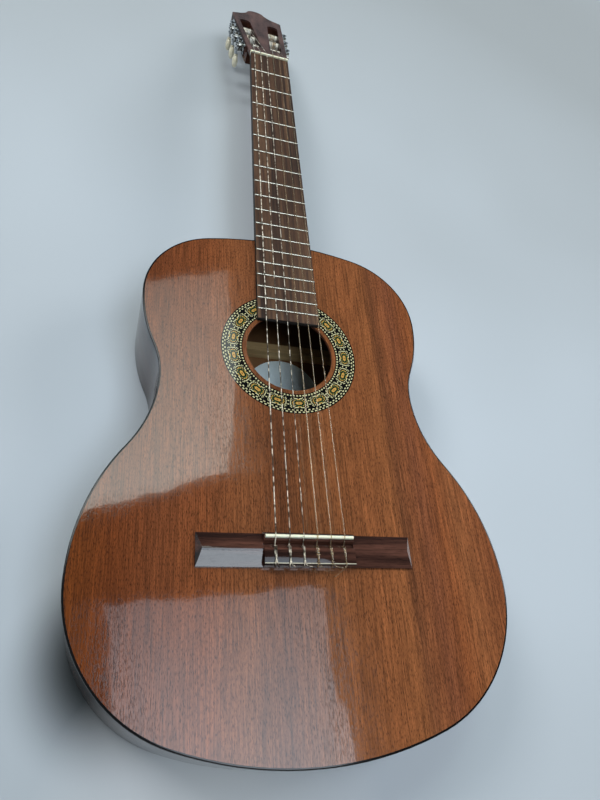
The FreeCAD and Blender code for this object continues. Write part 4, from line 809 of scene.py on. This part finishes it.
def turns_on_roller(number):
    """Points of a string's turns, from the one where it meets the roller to its end in the roller's hole."""
    joint = joints["roller_turn_%d" % number]
    axis, origin = Vector(joint["axis"]), Vector(joint["pos_m"])
    row = number - 1 if number <= 3 else 6 - number
    start = origin - axis * (SLOT_WALL + SLOT_W * WIND_AT[row]) * MM
    hole = origin - axis * (SLOT_WALL + SLOT_W * STRING_HOLE_AT) * MM
    radius = (ROLLER_R + OFF_ROLLER + DIAMETER[number] / 2.0) * MM
    away = over_nut(number) - start
    away -= axis * away.dot(axis)
    up = away.cross(axis).normalized()
    up *= 1.0 if up.z > 0.0 else -1.0
    lean = math.acos(radius / away.length)
    first = away.normalized() * math.cos(lean) + up * math.sin(lean)
    onward = axis.cross(first)
    onward *= 1.0 if onward.dot(away) < 0.0 else -1.0
    room = (hole - start).dot(axis)
    turns = min(MOST_TURNS, int(room / (DIAMETER[number] * TURN_SPACING * MM)))
    points = []
    for angle in range(0, 360 * turns + 1, STEP):
        turned = math.radians(angle)
        swell = radius / math.cos(math.radians(STEP / 2.0)) if angle else radius
        points.append(start + axis * room * angle / (360.0 * turns)
                      + (first * math.cos(turned) + onward * math.sin(turned)) * swell)
    points.append(hole + first * radius * 0.75)
    points.append(hole + first * radius * 0.2)
    return points


for number in DIAMETER:
    print("string", number, "has", (len(turns_on_roller(number)) - 3) * STEP // 360, "turns")


# %% [markdown]
# ### The knot on the tie block
# A classical string is tied, not hooked. It runs through the block to the back, comes up and over the block to
# the front, goes under itself there, returns over the block and is tucked under its own strand, with a short
# tail left behind the block. The points are given in millimetres from the middle of the string: to the side,
# and behind or in front of the block's faces.

# %% Knots
TAILS = {1: [(-1.2, -1.8, 0.2), (-4.5, -4.6, -5.0), (-8.5, -7.5, -6.6)],
         2: [(3.0, -1.0, -0.2), (6.5, -1.4, -0.9), (10.0, -1.8, -1.6)],
         3: [(2.2, -0.9, -0.6), (3.4, -1.2, -2.0)],
         4: [(3.0, -0.8, -0.1), (6.0, -0.9, -0.5), (9.0, -1.0, -1.2)],
         5: [(2.4, -0.9, -0.3), (4.2, -1.1, -1.2)],
         6: [(1.8, -0.9, -0.4), (2.6, -1.3, -2.2)]}


def knot(number):
    """Points of a string's tie, from its loose tail to the hole that leads to the saddle."""
    d = DIAMETER[number]
    x = over_saddle(number).x / MM
    front, rear, top, low = BLOCK_FRONT / MM, BLOCK_REAR / MM, BLOCK_TOP / MM + d / 2.0, HOLE_Z / MM
    side = 0.62 * d
    tail = [(x + a, rear + b, top + c) for a, b, c in TAILS[number]]
    way = tail[::-1] + [
        (x + 0.8, rear + 0.6, top - 0.1), (x + side, rear + 2.6, top), (x - side, front - 6.0, top),
        (x - side, front - 1.6, top), (x - side * 1.4, front + 0.9, top - 0.4),
        (x - side * 1.4, front + 1.4, low + 1.2), (x - side, front + 1.6, low - 0.2 - d),
        (x + side, front + 1.6, low - 0.2 - d), (x + side * 1.4, front + 1.4, low + 1.2),
        (x + side * 1.4, front + 0.9, top - 0.4), (x + side, front - 1.6, top),
        (x + side * 0.8, front - 6.0, top + 0.2), (x - side * 0.4, rear + 3.4, top + d),
        (x - side, rear + 1.0, top + 0.1), (x - side, rear - 0.7, top - 0.6),
        (x - side * 0.4, rear - 1.0, low + 0.8), (x, rear - 0.6, low), (x, rear + 1.5, low),
        (x, front - 0.6, low)]
    return [Vector(point) * MM for point in way]


print("points of a knot", [len(knot(number)) for number in DIAMETER])

# %% [markdown]
# ### From points to a wire
# Tie, straight run and turns are put in a row and become one wire. The curve is made a mesh at once, and its
# doubled points are merged. At the saddle and the nut the string turns sharply, so each corner gets a control
# point close by on both sides.


# %% Whole strings
SADDLE_BEND, NUT_BEND, DOUBLED = 1.2, 2.0, 0.002


def wire(name, points, radius):
    """Mesh of a round wire that follows a NURBS curve through its control points."""
    curve = bpy.data.curves.new(name, "CURVE")
    curve.dimensions = "3D"
    curve.bevel_depth, curve.bevel_resolution, curve.use_fill_caps = radius, 2, True
    spline = curve.splines.new("NURBS")
    spline.points.add(len(points) - 1)
    for control, point in zip(spline.points, points):
        control.co = (*point, 1.0)
    spline.order_u, spline.use_endpoint_u, spline.resolution_u = 3, True, 4
    shape = bpy.data.objects.new(name, curve)
    mesh = bpy.data.meshes.new_from_object(shape)
    bpy.data.objects.remove(shape)
    bm = bmesh.new()
    bm.from_mesh(mesh)
    bmesh.ops.remove_doubles(bm, verts=bm.verts, dist=DOUBLED * MM)
    bmesh.ops.recalc_face_normals(bm, faces=bm.faces)
    bm.to_mesh(mesh)
    bm.free()
    return mesh


def bend(before, corner, after, reach):
    """Three control points that round a corner: one a little way before it, itself, and one after it."""
    return [corner + (before - corner).normalized() * reach, corner,
            corner + (after - corner).normalized() * reach]


def string_way(number):
    """Control points of a whole string."""
    tie, turns = knot(number), turns_on_roller(number)
    saddle, nut = over_saddle(number), over_nut(number)
    return (tie + bend(tie[-1], saddle, nut, SADDLE_BEND * MM)
            + bend(saddle, nut, turns[0], NUT_BEND * MM) + turns)


for number in DIAMETER:
    print("string", number, "follows", len(string_way(number)), "control points")

# %% [markdown]
# ### String finishes
# The trebles are extruded nylon, which could be plain glass, but nylon is a little milky. The basses are wound
# with flat wire 0.3 mm wide, which is too fine to show from half a metre, so a wave of 0.6 mm stands for it. It
# is a bump, because real windings would be more than two thousand rings on each string.

# %% String finishes
# Clear extruded nylon: light goes through it, slightly milky, and it reads as a faint pale line.
HAZE_SIZE = 4.0
nylon, tree = blank_material("nylon_clear_extruded")
where = add(tree, "ShaderNodeTexCoord").outputs["Object"]
haze = add(tree, "ShaderNodeTexNoise", {"Vector": where, "Scale": 1.0 / (HAZE_SIZE * MM), "Detail": 1.0})
clear = add(tree, "ShaderNodeMix", {"Factor": haze.outputs["Fac"], "A": linear("#c9ae88"),
                                    "B": linear("#e0cba8")}, data_type="RGBA")
surface(tree, {"Base Color": clear.outputs[2], "Roughness": 0.2, "IOR": 1.53, "Transmission Weight": 0.93,
               "Specular IOR Level": 0.15})
# Silvered copper wire, wound: bright metal, with painted glints: stretches of about 5 mm are painted bright and
# dark, for the glints that the windings throw. The windings are drawn twice as wide as they are. At scale 1 the
# wave's bands are 2 pi / 20 apart.
WINDING, WINDING_DEEP, GLINT_SIZE = 0.6, 0.12, 5.0
silver, tree = blank_material("silvered_copper_wire_wound_painted_glints")
where = add(tree, "ShaderNodeTexCoord").outputs["Object"]
coils = add(tree, "ShaderNodeTexWave", {"Vector": where, "Scale": 2.0 * math.pi / (20.0 * WINDING * MM),
                                        "Distortion": 0.0}, bands_direction="Y")
# Painted glints: stretches of bright and dark metal along the string.
painted_glint = add(tree, "ShaderNodeTexNoise", {"Vector": where, "Scale": 1.0 / (GLINT_SIZE * MM), "Detail": 1.0})
painted_glint = add(tree, "ShaderNodeMapRange", {"Value": painted_glint.outputs["Fac"], "From Min": 0.42, "From Max": 0.56})
metal = add(tree, "ShaderNodeMix", {"Factor": painted_glint.outputs[0], "A": linear("#564c41"), "B": linear("#f2e6d2")},
            data_type="RGBA")
ridge = add(tree, "ShaderNodeBump", {"Height": coils.outputs["Fac"], "Distance": WINDING_DEEP * MM})
surface(tree, {"Base Color": metal.outputs[2], "Roughness": 0.3, "Metallic": 1.0,
               "Normal": ridge.outputs["Normal"]})
print("windings drawn", WINDING, "mm apart, worn stretches", GLINT_SIZE, "mm")

# %% Make the strings
for number, d in DIAMETER.items():
    name, material, slot = (("wound_string_%d" % number, silver, "wound_silver") if number > 3 else
                            ("nylon_string_%d" % number, nylon, "clear_nylon"))
    mesh = wire(name, string_way(number), d / 2.0 * MM)
    put(name, mesh, material, replaced=("string_%d" % number,))
    print(mesh.name, len(mesh.polygons), "faces")
